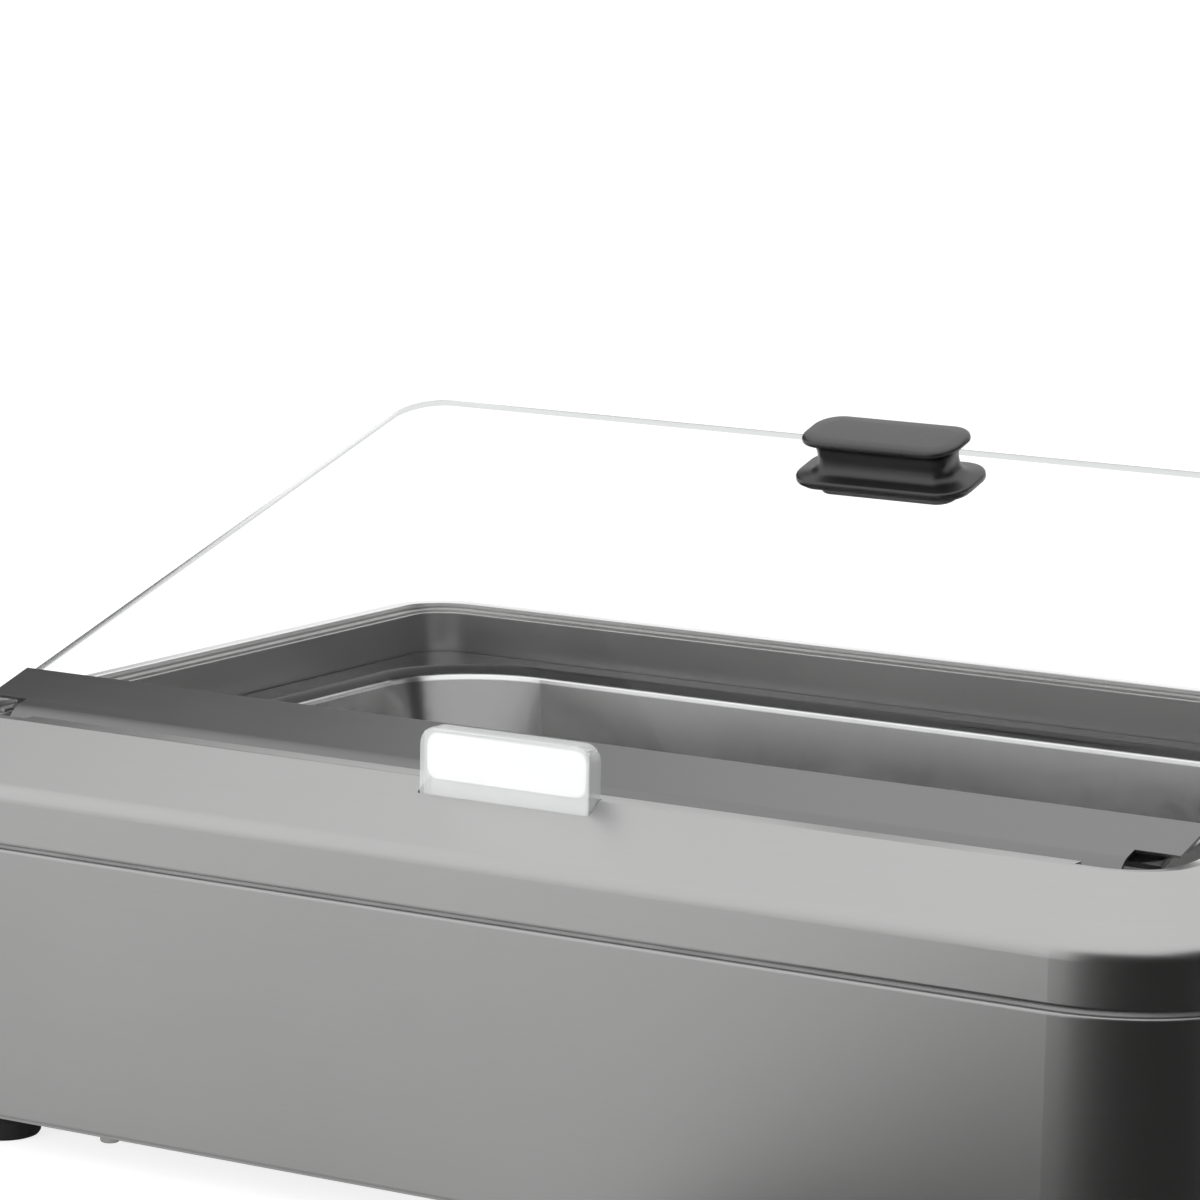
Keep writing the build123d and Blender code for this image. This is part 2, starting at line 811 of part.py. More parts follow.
# Hinge brackets on the deck, with two ears each
for number, hinge_x in enumerate(hinge_xs, start=1):
    with BuildPart() as hinge_bracket:
        with BuildSketch(Plane.XY.offset(deck_top)):
            with Locations((hinge_x, bracket_y)):
                RectangleRounded(bracket_length, hinge_zone - 2 * bracket_clearance, bracket_corner)
        extrude(amount=bracket_base)
        for side in (-1, 1):
            ear_x = hinge_x + side * (knuckle_length / 2 + ear_gap + ear_thickness / 2)
            with BuildSketch(Plane.YZ.offset(ear_x)):
                with BuildLine():
                    foot_line = Line((axis_y + ear_radius, deck_top), (axis_y - ear_radius, deck_top))
                    Line(foot_line @ 1, (axis_y - ear_radius, axis_z))
                    CenterArc((axis_y, axis_z), ear_radius, 180, -180)
                    Line((axis_y + ear_radius, axis_z), foot_line @ 0)
                make_face()
                with Locations((axis_y, axis_z)):
                    Circle(pin_radius + pin_clearance, mode=Mode.SUBTRACT)
            extrude(amount=ear_thickness / 2, both=True)
        screw_xs = (hinge_x - bracket_screw_x, hinge_x + bracket_screw_x)
        with Locations(*[Pos(x, bracket_y, deck_top + bracket_base) for x in screw_xs]):
            Hole(screw_hole, depth=bracket_base)
    save(hinge_bracket.part, f"hinge_bracket_{number}")

    with BuildPart() as hinge_pin:
        half_pin = knuckle_length / 2 + ear_gap + ear_thickness + pin_end
        with BuildSketch(Plane.YZ.offset(hinge_x - half_pin)):
            with Locations((axis_y, axis_z)):
                Circle(pin_radius)
        extrude(amount=2 * half_pin)
        with BuildSketch(Plane.YZ.offset(hinge_x - half_pin)):
            with Locations((axis_y, axis_z)):
                Circle(pin_head_radius)
        extrude(amount=pin_end)
        chamfer(hinge_pin.edges().group_by(Axis.X)[-1], pin_chamfer)
    save(hinge_pin.part, f"hinge_pin_{number}")

make_screw(
    bracket_screws,
    Plane.XY.offset(deck_top + bracket_base),
    bracket_base + sheet + nut_height,
    "bracket_screws",
)
make_nuts(
    bracket_screws,
    Plane.XY.offset(deck_top - sheet - nut_height),
    nut_height,
    nut_radius,
    screw_hole,
    "bracket_nuts",
)

# Hinge leaf: full-width clamping strip under the glass, with a knuckle at each hinge
with BuildPart() as hinge_leaf:
    with BuildSketch(lid_plane.offset(leaf_bottom)):
        with Locations((0, (leaf_start + leaf_end) / 2)):
            Rectangle(leaf_length, leaf_end - leaf_start)
        with Locations(*studs):
            Circle(stud_hole, mode=Mode.SUBTRACT)
    extrude(amount=leaf_thickness)
    for hinge_x in hinge_xs:
        with BuildSketch(lid_section.offset(hinge_x)):
            Circle(knuckle_radius)
            with BuildLine():
                Polyline(
                    (0, knuckle_radius),
                    (leaf_start + knuckle_web, leaf_bottom + leaf_thickness),
                    (leaf_start + knuckle_web, leaf_bottom),
                    (0, knuckle_web),
                    close=True,
                )
            make_face()
            Circle(pin_radius + pin_clearance, mode=Mode.SUBTRACT)
        extrude(amount=knuckle_length / 2, both=True)
save(hinge_leaf.part, "hinge_leaf")

with BuildPart() as clamp_pad:
    with BuildSketch(lid_plane.offset(pad_bottom)):
        with Locations((0, (leaf_start + leaf_end) / 2)):
            Rectangle(leaf_length, leaf_end - leaf_start)
        with Locations(*studs):
            Circle(stud_hole, mode=Mode.SUBTRACT)
    extrude(amount=pad_thickness)
save(clamp_pad.part, "clamp_pad")

# Glass pane with ground edge, drilled for the rail studs and the handle screws
with BuildPart() as glass_pane:
    with BuildSketch(lid_plane.offset(glass_bottom)):
        with Locations((0, (glass_start + glass_end) / 2)):
            RectangleRounded(2 * glass_half, glass_end - glass_start, glass_corner_radius)
        with Locations(*studs, *handle_screws):
            Circle(glass_hole_radius, mode=Mode.SUBTRACT)
    extrude(amount=glass_thickness)
save(glass_pane.part, "glass_pane")

# Lid rail: flat cover strip over the glass that rolls down round the hinge line, with welded studs
with BuildPart() as lid_rail:
    with BuildSketch(lid_plane.offset(glass_top)):
        # the strip is a little shorter along the hinge so that its ends clear the corners of the well
        with Locations((0, rail_end / 2)):
            Rectangle(2 * nose_half, rail_end)
        with Locations((0, (rail_end + rail_relief) / 2)):
            Rectangle(2 * (glass_half + rail_overhang), rail_end - rail_relief)
    extrude(amount=rail_sheet)
    with BuildSketch(lid_section):
        with BuildLine():
            outer_arc = CenterArc((0, 0), rail_top, 90, rail_nose_angle)
            inner_arc = CenterArc((0, 0), glass_top, 90, rail_nose_angle)
            Line(outer_arc @ 0, inner_arc @ 0)
            Line(outer_arc @ 1, inner_arc @ 1)
        make_face()
    extrude(amount=nose_half, both=True)
    with BuildSketch(lid_plane.offset(glass_top)):
        with Locations(*studs):
            Circle(stud_radius)
    extrude(amount=-(glass_top - stud_tip))
save(lid_rail.part, "lid_rail")
make_nuts(
    studs,
    lid_plane.offset(leaf_bottom - nut_height),
    nut_height,
    nut_radius,
    stud_hole,
    "rail_nuts",
)

# Spool-shaped lid handle
with BuildPart() as lid_handle:
    with BuildSketch(lid_plane.offset(handle_bottom)):
        with Locations((0, handle_v)):
            RectangleRounded(handle_base_length, handle_base_width, handle_base_width * handle_corner_ratio)
    extrude(amount=handle_base_height)
    for height, length, width in handle_sections:
        with BuildSketch(lid_plane.offset(handle_bottom + height)):
            with Locations((0, handle_v)):
                RectangleRounded(length, width, width * handle_corner_ratio)
    loft()
    with BuildSketch(lid_plane.offset(handle_bottom + handle_height - handle_top_height)):
        with Locations((0, handle_v)):
            RectangleRounded(handle_top_length, handle_top_width, handle_top_width * handle_corner_ratio)
    extrude(amount=handle_top_height)
    lid_up = Axis(lid_plane.origin, lid_plane.z_dir)
    fillet(lid_handle.faces().filter_by(lid_up).sort_by(lid_up)[-1].edges(), handle_round)
    with BuildSketch(lid_plane.offset(handle_bottom)):
        with Locations(*handle_screws):
            Circle(handle_screw_radius)
    extrude(amount=handle_screw_depth, mode=Mode.SUBTRACT)
save(lid_handle.part, "lid_handle")


def make_handle_plate(low, high, length, width, hole, name):
    """Flat plate under the handle, on one side of the glass."""
    with BuildPart() as plate:
        with BuildSketch(lid_plane.offset(low)):
            with Locations((0, handle_v)):
                RectangleRounded(length, width, width * handle_corner_ratio)
            with Locations(*handle_screws):
                Circle(hole, mode=Mode.SUBTRACT)
        extrude(amount=high - low)
    save(plate.part, name)


# Soft washer over the glass, steel backing plate under it, and the two screws
make_handle_plate(
    glass_top,
    handle_bottom,
    handle_base_length - 2 * washer_inset,
    handle_base_width - 2 * washer_inset,
    glass_hole_radius,
    "handle_washer",
)
make_handle_plate(
    backing_bottom,
    glass_bottom,
    handle_waist_length,
    handle_waist_width,
    handle_screw_radius + hole_clearance,
    "handle_backing",
)
with BuildPart() as handle_screw_set:
    with BuildSketch(lid_plane.offset(backing_bottom)):
        with Locations(*handle_screws):
            Circle(handle_screw_radius)
    extrude(amount=handle_bottom - backing_bottom + handle_screw_depth - handle_screw_gap)
    with BuildSketch(lid_plane.offset(backing_bottom)):
        with Locations(*handle_screws):
            Circle(handle_screw_head / 2)
    extrude(amount=-screw_head_height)
save(handle_screw_set.part, "handle_screws")

# Clear label holder, open below, and the card inside it
label_face = Plane(origin=(0, label_front, label_bottom), x_dir=(1, 0, 0), z_dir=(0, -1, 0))
with BuildPart() as label_holder:
    with BuildSketch(label_face) as holder_outline:
        with Locations((0, label_height / 2)):
            Rectangle(label_width, label_height)
        fillet(holder_outline.vertices().group_by(Axis.Y)[-1], label_round)
    extrude(amount=-label_thickness)
    face_edges = label_holder.faces().filter_by(Axis.Y).edges()
    fillet(face_edges.filter_by(lambda edge: edge.center().Z > label_bottom + label_wall), label_edge_round)
    with BuildSketch(label_face.offset(-label_wall)) as holder_cavity:
        with Locations((0, label_height / 2 - label_wall)):
            Rectangle(label_width - 2 * label_wall, label_height)
        fillet(holder_cavity.vertices().group_by(Axis.Y)[-1], label_round - label_wall)
    extrude(amount=-(label_thickness - 2 * label_wall), mode=Mode.SUBTRACT)
save(label_holder.part, "label_holder")

with BuildPart() as label_card:
    with BuildSketch(label_face.offset(-label_wall)) as card_outline:
        with Locations((0, card_bottom - label_bottom + card_height / 2)):
            RectangleRounded(
                label_width - 2 * (label_wall + card_clearance), card_height, label_round - label_wall
            )
    extrude(amount=-card_thickness)
save(label_card.part, "label_card")

# Recessed tray that carries the controls
with BuildPart() as control_tray:
    with BuildSketch(rear_plane.offset(tray_depth - sheet - tray_sheet)):
        RectangleRounded(
            tray_length + 2 * tray_flange, tray_height + 2 * tray_flange, tray_radius + tray_flange
        )
    extrude(amount=tray_sheet)
    with BuildSketch(rear_plane.offset(-tray_sheet)):
        RectangleRounded(tray_length + 2 * tray_sheet, tray_height + 2 * tray_sheet, tray_radius + tray_sheet)
    extrude(amount=tray_depth - sheet)
    with BuildSketch(rear_plane):
        RectangleRounded(tray_length, tray_height, tray_radius)
    extrude(amount=tray_depth, mode=Mode.SUBTRACT)
    with BuildSketch(rear_plane):
        with Locations((dial_x, 0)):
            Circle(shaft_radius + bush_wall + hole_clearance)
        with Locations((switch_x, 0)):
            Rectangle(*switch_cut)
        with Locations((lamp_x, 0)):
            Circle(lamp_radius - lamp_lap + hole_clearance)
        with Locations((inlet_x, 0)):
            Rectangle(*inlet_body)
        with Locations(*inlet_screws):
            Circle(inlet_screw_radius + hole_clearance)
    extrude(amount=-tray_sheet, mode=Mode.SUBTRACT)
    with Locations(*[rear_plane.offset(tray_depth - sheet) * Pos(x, y) for x, y in tray_screws]):
        Hole(screw_hole, depth=tray_sheet)
save(control_tray.part, "control_tray")

# Countersunk tray screws, flush with the housing
with BuildPart() as tray_screw_set:
    cone_height = (tray_screw_head - screw_shank) / 2
    with Locations(*[rear_plane.offset(tray_depth) * Pos(x, y) for x, y in tray_screws]):
        Cylinder(screw_shank / 2, tray_screw_length, align=(Align.CENTER, Align.CENTER, Align.MAX))
        Cone(screw_shank / 2, tray_screw_head / 2, cone_height, align=(Align.CENTER, Align.CENTER, Align.MAX))
save(tray_screw_set.part, "tray_screws")

# Thermostat behind the tray, its turning shaft and the dial
with BuildPart() as thermostat_body:
    with BuildSketch(rear_plane.offset(-tray_sheet)):
        with Locations((dial_x, 0)):
            RectangleRounded(thermostat_size[0], thermostat_size[1], thermostat_corner)
    extrude(amount=-thermostat_size[2])
    with BuildSketch(rear_plane):
        with Locations((dial_x, 0)):
            Circle(shaft_radius + bush_wall)
    extrude(amount=-tray_sheet)
    with BuildSketch(rear_plane):
        with Locations((dial_x, 0)):
            Circle(shaft_radius + shaft_clearance)
    extrude(amount=-shaft_depth, mode=Mode.SUBTRACT)
save(thermostat_body.part, "thermostat_body")

with BuildPart() as thermostat_shaft:
    with BuildSketch(rear_plane.offset(-shaft_depth + ear_gap)):
        with Locations((dial_x, 0)):
            Circle(shaft_radius)
    extrude(amount=shaft_depth - ear_gap + dial_gap + dial_height - dial_roof)
save(thermostat_shaft.part, "thermostat_shaft")

with BuildPart() as control_dial:
    with BuildSketch(rear_plane.offset(dial_gap)):
        with Locations((dial_x, 0)):
            Circle(dial_radius)
    extrude(amount=dial_skirt_height)
    with BuildSketch(rear_plane.offset(dial_gap + dial_skirt_height)):
        with Locations((dial_x, 0)):
            Circle(dial_radius - dial_grip_inset)
    extrude(amount=dial_height - dial_skirt_height, taper=dial_grip_taper)
    dial_axis = Axis(rear_plane.origin, rear_plane.z_dir)
    fillet(control_dial.faces().filter_by(dial_axis).sort_by(dial_axis)[-1].edges(), dial_round)
    with BuildSketch(rear_plane.offset(dial_gap + dial_skirt_height)):
        with Locations((dial_x, 0)):
            with PolarLocations(dial_radius - dial_flute_inset, dial_flutes):
                Circle(dial_flute_radius)
    extrude(amount=dial_height, mode=Mode.SUBTRACT)
    with BuildSketch(rear_plane):
        with Locations((dial_x, 0)):
            Circle(shaft_radius + shaft_clearance)
    extrude(amount=dial_gap + dial_height - dial_roof, mode=Mode.SUBTRACT)
save(control_dial.part, "control_dial")

# Rocker switch: bezel and box in one, with the rocker on two trunnions
pivot_height = switch_bezel - rocker_pivot_drop
cavity_radius = rocker_radius + rocker_gap
with BuildPart() as switch_housing:
    with BuildSketch(rear_plane):
        with Locations((switch_x, 0)):
            RectangleRounded(
                switch_size[0] + 2 * switch_lap, switch_size[1] + 2 * switch_lap, switch_corner
            )
    extrude(amount=switch_bezel)
    with BuildSketch(rear_plane):
        with Locations((switch_x, 0)):
            Rectangle(switch_cut[0] - 2 * hole_clearance, switch_cut[1] - 2 * hole_clearance)
    extrude(amount=-switch_depth)
    with BuildSketch(rear_plane.offset(switch_bezel)):
        with Locations((switch_x, 0)):
            Rectangle(rocker_width + 2 * rocker_gap, 2 * cavity_radius)
    extrude(amount=-(switch_bezel + cavity_depth), mode=Mode.SUBTRACT)
    with BuildSketch(Plane.YZ.offset(-switch_x)):
        with Locations((tray_face + pivot_height, tray_centre)):
            Circle(rocker_pin_radius + pin_clearance)
    extrude(amount=rocker_width / 2 + rocker_trunnion + pin_clearance, both=True, mode=Mode.SUBTRACT)
    with BuildSketch(rear_plane.offset(-switch_depth)):
        with Locations((switch_x, 0)):
            with GridLocations(0, switch_tab_pitch, 1, 2):
                Rectangle(*switch_tab)
    extrude(amount=-switch_tab_length)
save(switch_housing.part, "switch_housing")

rocker_section = Plane(
    origin=(-switch_x, tray_face + pivot_height, tray_centre),
    x_dir=(0, -math.sin(math.radians(rocker_angle)), math.cos(math.radians(rocker_angle))),
    z_dir=(-1, 0, 0),
)
with BuildPart() as switch_rocker:
    with BuildSketch(rocker_section):
        Circle(rocker_radius)
        with Locations((0, -rocker_bottom)):
            Rectangle(2 * rocker_radius, rocker_radius, align=(Align.CENTER, Align.MAX), mode=Mode.SUBTRACT)
        with BuildLine():
            Polyline(
                (-rocker_radius, rocker_rise),
                (0, rocker_rise - rocker_dip),
                (rocker_radius, rocker_rise),
                (rocker_radius, 2 * rocker_radius),
                (-rocker_radius, 2 * rocker_radius),
                close=True,
            )
        make_face(mode=Mode.SUBTRACT)
    extrude(amount=rocker_width / 2, both=True)
    with BuildSketch(rocker_section):
        Circle(rocker_pin_radius)
    extrude(amount=rocker_width / 2 + rocker_trunnion, both=True)
save(switch_rocker.part, "switch_rocker")

# Pilot lamp: coloured lens in front, holder behind
with BuildPart() as lamp_lens:
    with BuildSketch(rear_plane):
        with Locations((lamp_x, 0)):
            Circle(lamp_radius)
    extrude(amount=lamp_lens_height)
    fillet(lamp_lens.faces().sort_by(Axis.Y)[-1].edges(), lamp_round)
save(lamp_lens.part, "lamp_lens")

with BuildPart() as lamp_holder:
    with BuildSketch(rear_plane):
        with Locations((lamp_x, 0)):
            Circle(lamp_radius - lamp_lap)
    extrude(amount=-lamp_depth)
    with BuildSketch(rear_plane.offset(-tray_sheet)):
        with Locations((lamp_x, 0)):
            RegularPolygon(lamp_radius + lamp_nut_margin, 6)
    extrude(amount=-lamp_nut_height)
save(lamp_holder.part, "lamp_holder")

# Mains inlet with three pins, and its two screws
with BuildPart() as inlet_socket:
    with BuildSketch(rear_plane):
        with Locations((inlet_x, 0)):
            RectangleRounded(inlet_size[0], inlet_size[1], inlet_corner)
    extrude(amount=inlet_flange)
    with BuildSketch(rear_plane):
        with Locations((inlet_x, 0)):
            Rectangle(inlet_body[0] - 2 * hole_clearance, inlet_body[1] - 2 * hole_clearance)
    extrude(amount=-inlet_depth)
    with BuildSketch(rear_plane.offset(inlet_flange)) as inlet_mouth:
        with Locations((inlet_x, 0)):
            Rectangle(*inlet_cavity)
        chamfer(inlet_mouth.vertices().group_by(Axis.Y)[-1], inlet_key)
    extrude(amount=-(inlet_flange + inlet_cavity_depth), mode=Mode.SUBTRACT)
    with Locations(*[rear_plane.offset(inlet_flange) * Pos(x, y) for x, y in inlet_screws]):
        Hole(inlet_screw_radius + hole_clearance, depth=inlet_flange)
save(inlet_socket.part, "inlet_socket")

with BuildPart() as inlet_pins:
    with BuildSketch(rear_plane.offset(-inlet_cavity_depth)):
        pin_xs = (inlet_x - inlet_pin_pitch, inlet_x + inlet_pin_pitch)
        with Locations(*[(x, 0) for x in pin_xs], (inlet_x, inlet_pin_rise)):
            Rectangle(*inlet_pin_size)
    extrude(amount=inlet_cavity_depth - inlet_pin_recess)
save(inlet_pins.part, "inlet_pins")

with BuildPart() as inlet_screw_set:
    with BuildSketch(rear_plane.offset(inlet_flange)):
        with Locations(*inlet_screws):
            Circle(inlet_screw_head)
    extrude(amount=inlet_screw_head_height)
    with BuildSketch(rear_plane.offset(inlet_flange)):
        with Locations(*inlet_screws):
            Circle(inlet_screw_radius)
    extrude(amount=-(inlet_flange + tray_sheet + inlet_screw_tail))
save(inlet_screw_set.part, "inlet_screws")

# Terminal block on the base plate, where mains and element leads meet
with BuildPart() as terminal_block:
    with BuildSketch(Plane.XY.offset(base_height)):
        with Locations(terminal_place):
            RectangleRounded(terminal_size[0], terminal_size[1], terminal_corner)
    extrude(amount=terminal_size[2])
    with BuildSketch(Plane.XY.offset(base_height + terminal_size[2])):
        with Locations(terminal_place):
            with GridLocations(terminal_pitch, 0, terminal_ways, 1):
                Circle(terminal_hole_radius)
    extrude(amount=-terminal_hole_depth, mode=Mode.SUBTRACT)
save(terminal_block.part, "terminal_block")
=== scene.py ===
"""Looks for the electric chafing dish: materials, dressed pieces, studio and camera."""
import math

import bmesh
import bpy
from mathutils import Matrix, Vector


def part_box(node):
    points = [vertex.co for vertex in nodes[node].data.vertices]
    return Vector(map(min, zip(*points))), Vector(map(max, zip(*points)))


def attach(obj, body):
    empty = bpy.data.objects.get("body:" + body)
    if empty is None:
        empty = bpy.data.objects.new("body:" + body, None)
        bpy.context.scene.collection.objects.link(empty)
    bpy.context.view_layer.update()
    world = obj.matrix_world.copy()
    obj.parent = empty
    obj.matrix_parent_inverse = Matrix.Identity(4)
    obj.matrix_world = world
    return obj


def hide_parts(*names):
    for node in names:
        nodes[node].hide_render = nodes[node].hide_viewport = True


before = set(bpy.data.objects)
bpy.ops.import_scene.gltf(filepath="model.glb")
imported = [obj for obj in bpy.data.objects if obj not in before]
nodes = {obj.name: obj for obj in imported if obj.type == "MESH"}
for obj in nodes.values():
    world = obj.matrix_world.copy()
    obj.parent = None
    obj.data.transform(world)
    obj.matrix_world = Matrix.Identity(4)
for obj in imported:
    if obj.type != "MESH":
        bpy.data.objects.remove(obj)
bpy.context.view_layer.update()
MM = 0.001
WELD_DISTANCE = 0.000002

# Places taken over from the solids, in metres
LID_ANGLE = math.radians(16.85)
LID_ORIGIN = Vector((0.0, -0.160, 0.1718))
LID_ACROSS = Vector((0.0, math.cos(LID_ANGLE), math.sin(LID_ANGLE)))
LID_NORMAL = Vector((0.0, -math.sin(LID_ANGLE), math.cos(LID_ANGLE)))
TRAY_FACE = Vector((0.0, 0.193, 0.076))


def axes(origin, across, up, out):
    """Matrix that takes local X, Y, Z to the three directions at the origin."""
    turn = Matrix((across, up, out)).transposed().to_4x4()
    return Matrix.Translation(origin) @ turn


LID = axes(LID_ORIGIN, Vector((1, 0, 0)), LID_ACROSS, LID_NORMAL)
REAR = axes(TRAY_FACE, Vector((-1, 0, 0)), Vector((0, 0, 1)), Vector((0, 1, 0)))


# Materials
ALL_WAYS = (1.0, 1.0, 1.0)
ROUND_BODY = (3.0, 3.0, 700.0)
ALONG_X = (2.0, 500.0, 500.0)
NOISE_ROUGHNESS = 0.55
NOISE_SPAN = (0.3, 0.7)
FINE_SHARE, SLOW_SHARE = 0.45, 0.55
METAL_RELIEF = 0.00003
PLASTIC_RELIEF = 0.00004


def new_material(name):
    material = bpy.data.materials.new(name)
    material.use_nodes = True
    tree = material.node_tree
    tree.nodes.clear()
    shader = tree.nodes.new("ShaderNodeBsdfPrincipled")
    output = tree.nodes.new("ShaderNodeOutputMaterial")
    tree.links.new(shader.outputs["BSDF"], output.inputs["Surface"])
    return material, tree, shader


def shader_of(material):
    return material.node_tree.nodes["Principled BSDF"]


def object_noise(tree, scale, stretch, detail):
    """Noise in object coordinates, in 1/m, stretched per axis."""
    place = tree.nodes.new("ShaderNodeTexCoord")
    mapping = tree.nodes.new("ShaderNodeMapping")
    mapping.inputs["Scale"].default_value = stretch
    noise = tree.nodes.new("ShaderNodeTexNoise")
    noise.inputs["Scale"].default_value = scale
    noise.inputs["Detail"].default_value = detail
    noise.inputs["Roughness"].default_value = NOISE_ROUGHNESS
    tree.links.new(place.outputs["Object"], mapping.inputs["Vector"])
    tree.links.new(mapping.outputs["Vector"], noise.inputs["Vector"])
    return noise.outputs["Fac"]


def object_axes(tree):
    """Object coordinates as outputs X, Y and Z."""
    place = tree.nodes.new("ShaderNodeTexCoord")
    parts = tree.nodes.new("ShaderNodeSeparateXYZ")
    tree.links.new(place.outputs["Object"], parts.inputs[0])
    return parts.outputs


def chain(tree, operation, *values):
    """Math node whose inputs are sockets or numbers."""
    node = tree.nodes.new("ShaderNodeMath")
    node.operation = operation
    for slot, value in zip(node.inputs, values):
        if isinstance(value, (int, float)):
            slot.default_value = value
        else:
            tree.links.new(value, slot)
    return node.outputs[0]


def remap(tree, value, start, end, low=0.0, high=1.0):
    """Value brought from start ... end to low ... high, and held at both ends."""
    node = tree.nodes.new("ShaderNodeMapRange")
    node.inputs["From Min"].default_value = start
    node.inputs["From Max"].default_value = end
    node.inputs["To Min"].default_value = low
    node.inputs["To Max"].default_value = high
    tree.links.new(value, node.inputs["Value"])
    return node.outputs["Result"]


def tint(tree, value, dark, light):
    """Colour that goes from dark to light over the noise's middle range."""
    ramp = tree.nodes.new("ShaderNodeValToRGB")
    for element, position, colour in zip(ramp.color_ramp.elements, NOISE_SPAN, (dark, light)):
        element.position = position
        element.color = (*colour, 1.0)
    tree.links.new(value, ramp.inputs["Fac"])
    return ramp.outputs["Color"]


def mixed(tree, share, first, second, blend="MIX"):
    """First colour, a socket, mixed with the second, a plain colour, by the share."""
    mix = tree.nodes.new("ShaderNodeMixRGB")
    mix.blend_type = blend
    mix.inputs["Color2"].default_value = (*second, 1.0)
    tree.links.new(share, mix.inputs["Fac"])
    tree.links.new(first, mix.inputs["Color1"])
    return mix.outputs["Color"]


def bump(tree, shader, value, strength, distance):
    node = tree.nodes.new("ShaderNodeBump")
    node.inputs["Strength"].default_value = strength
    node.inputs["Distance"].default_value = distance
    tree.links.new(value, node.inputs["Height"])
    tree.links.new(node.outputs["Normal"], shader.inputs["Normal"])


def scaled(colour, factor):
    return tuple(channel * factor for channel in colour)


def metal(name, colour, rough, grain, grain_scale, vary=0.05, relief=0.15, haze=0.04):
    """Worked metal: fine grain along one way, slow cloudiness in tone and gloss."""
    material, tree, shader = new_material(name)
    shader.inputs["Metallic"].default_value = 1.0
    fine = object_noise(tree, grain_scale, grain, 3.0)
    slow = object_noise(tree, 9.0, ALL_WAYS, 3.0)
    slow_part = chain(tree, "MULTIPLY", slow, SLOW_SHARE)
    blend = chain(tree, "MULTIPLY_ADD", fine, FINE_SHARE, slow_part)
    colours = tint(tree, blend, scaled(colour, 1 - vary), scaled(colour, 1 + vary))
    tree.links.new(colours, shader.inputs["Base Color"])
    gloss = remap(tree, blend, *NOISE_SPAN, rough - haze, rough + haze)
    tree.links.new(gloss, shader.inputs["Roughness"])
    bump(tree, shader, fine, relief, METAL_RELIEF)
    return material


# Top frame's painted shade and painted highlight, in metres: distances are from the straight core
# of the well's outline
WELL_CORE = (("X", 0.248), ("Y", 0.154))
WELL_WALL = (0.0246, 0.0240)
WELL_TOP = (0.1784, 0.1776)
WELL_PAINTED_SHADE = (0.9, 0.9, 0.9)
CREST_OUTSIDE = (0.0290, 0.0284)
CREST_BEYOND_RAIL = (-0.15, -0.14)
CREST_PAINTED_HIGHLIGHT = (0.97, 0.97, 0.965)


def frame_finish(material):
    """Painted shade that makes the sheet slightly darker inside the well, and a painted highlight
    that makes a bright crest round it beyond the lid's rail.
    """
    tree = material.node_tree
    shader = shader_of(material)
    place = object_axes(tree)
    squares = []
    for axis, straight in WELL_CORE:
        beyond = chain(tree, "SUBTRACT", chain(tree, "ABSOLUTE", place[axis]), straight)
        beyond = chain(tree, "MAXIMUM", beyond, 0.0)
        squares.append(chain(tree, "MULTIPLY", beyond, beyond))
    distance = chain(tree, "SQRT", chain(tree, "ADD", *squares))
    below_top = remap(tree, place["Z"], *WELL_TOP)
    inside = chain(tree, "MULTIPLY", remap(tree, distance, *WELL_WALL), below_top)
    colour = shader.inputs["Base Color"].links[0].from_socket
    # painted shade: the sheet is darkened inside the well
    colour = mixed(tree, inside, colour, WELL_PAINTED_SHADE, "MULTIPLY")
    # painted highlight: the crest round the well is lightened beyond the lid's rail
    crest = chain(tree, "MULTIPLY", remap(tree, distance, *CREST_OUTSIDE),
                  remap(tree, place["Y"], *CREST_BEYOND_RAIL))
    crest = chain(tree, "MULTIPLY", crest, chain(tree, "SUBTRACT", 1.0, below_top))
    colour = mixed(tree, crest, colour, CREST_PAINTED_HIGHLIGHT)
    tree.links.new(colour, shader.inputs["Base Color"])


def plastic(name, colour, rough, grain_scale=1800.0, relief=0.12, vary=0.1):
    """Moulded plastic or rubber: fine spark-eroded grain with slight tone drift."""
    material, tree, shader = new_material(name)
    grain = object_noise(tree, grain_scale, ALL_WAYS, 2.0)
    slow = object_noise(tree, 40.0, ALL_WAYS, 2.0)
    colours = tint(tree, slow, scaled(colour, 1 - vary), scaled(colour, 1 + vary))
    tree.links.new(colours, shader.inputs["Base Color"])
    gloss = remap(tree, grain, *NOISE_SPAN, rough - 0.05, rough + 0.05)
    tree.links.new(gloss, shader.inputs["Roughness"])
    bump(tree, shader, grain, relief, PLASTIC_RELIEF)
    return material


def clear(name, colour, rough, ior, streak):
    """Clear sheet: faint variation in gloss only."""
    material, tree, shader = new_material(name)
    shader.inputs["Transmission Weight"].default_value = 1.0
    shader.inputs["IOR"].default_value = ior
    shader.inputs["Base Color"].default_value = (*colour, 1.0)
    smear = object_noise(tree, 14.0, ALL_WAYS, 3.0)
    gloss = remap(tree, smear, *NOISE_SPAN, rough, rough + streak)
    tree.links.new(gloss, shader.inputs["Roughness"])
    return material


# Pan's painted highlight and painted shade: heights in metres above which each grey starts, and
# half the width of the change
PAN_EDGE_GREYS = ((0.1518, 0.97), (0.1540, 0.045))
PAN_EDGE_BLEND = 0.0003


def pan_edge_finish(material):
    """Painted highlight line where the pan's flange turns down, and painted shade that darkens the
    flange above it.
    """
    tree = material.node_tree
    shader = shader_of(material)
    height = object_axes(tree)["Z"]
    colour = shader.inputs["Base Color"].links[0].from_socket
    # the first grey is the painted highlight line, the second the painted shade on the flange
    for edge, grey in PAN_EDGE_GREYS:
        above = remap(tree, height, edge - PAN_EDGE_BLEND, edge + PAN_EDGE_BLEND)
        colour = mixed(tree, above, colour, (grey, grey, grey))
    tree.links.new(colour, shader.inputs["Base Color"])


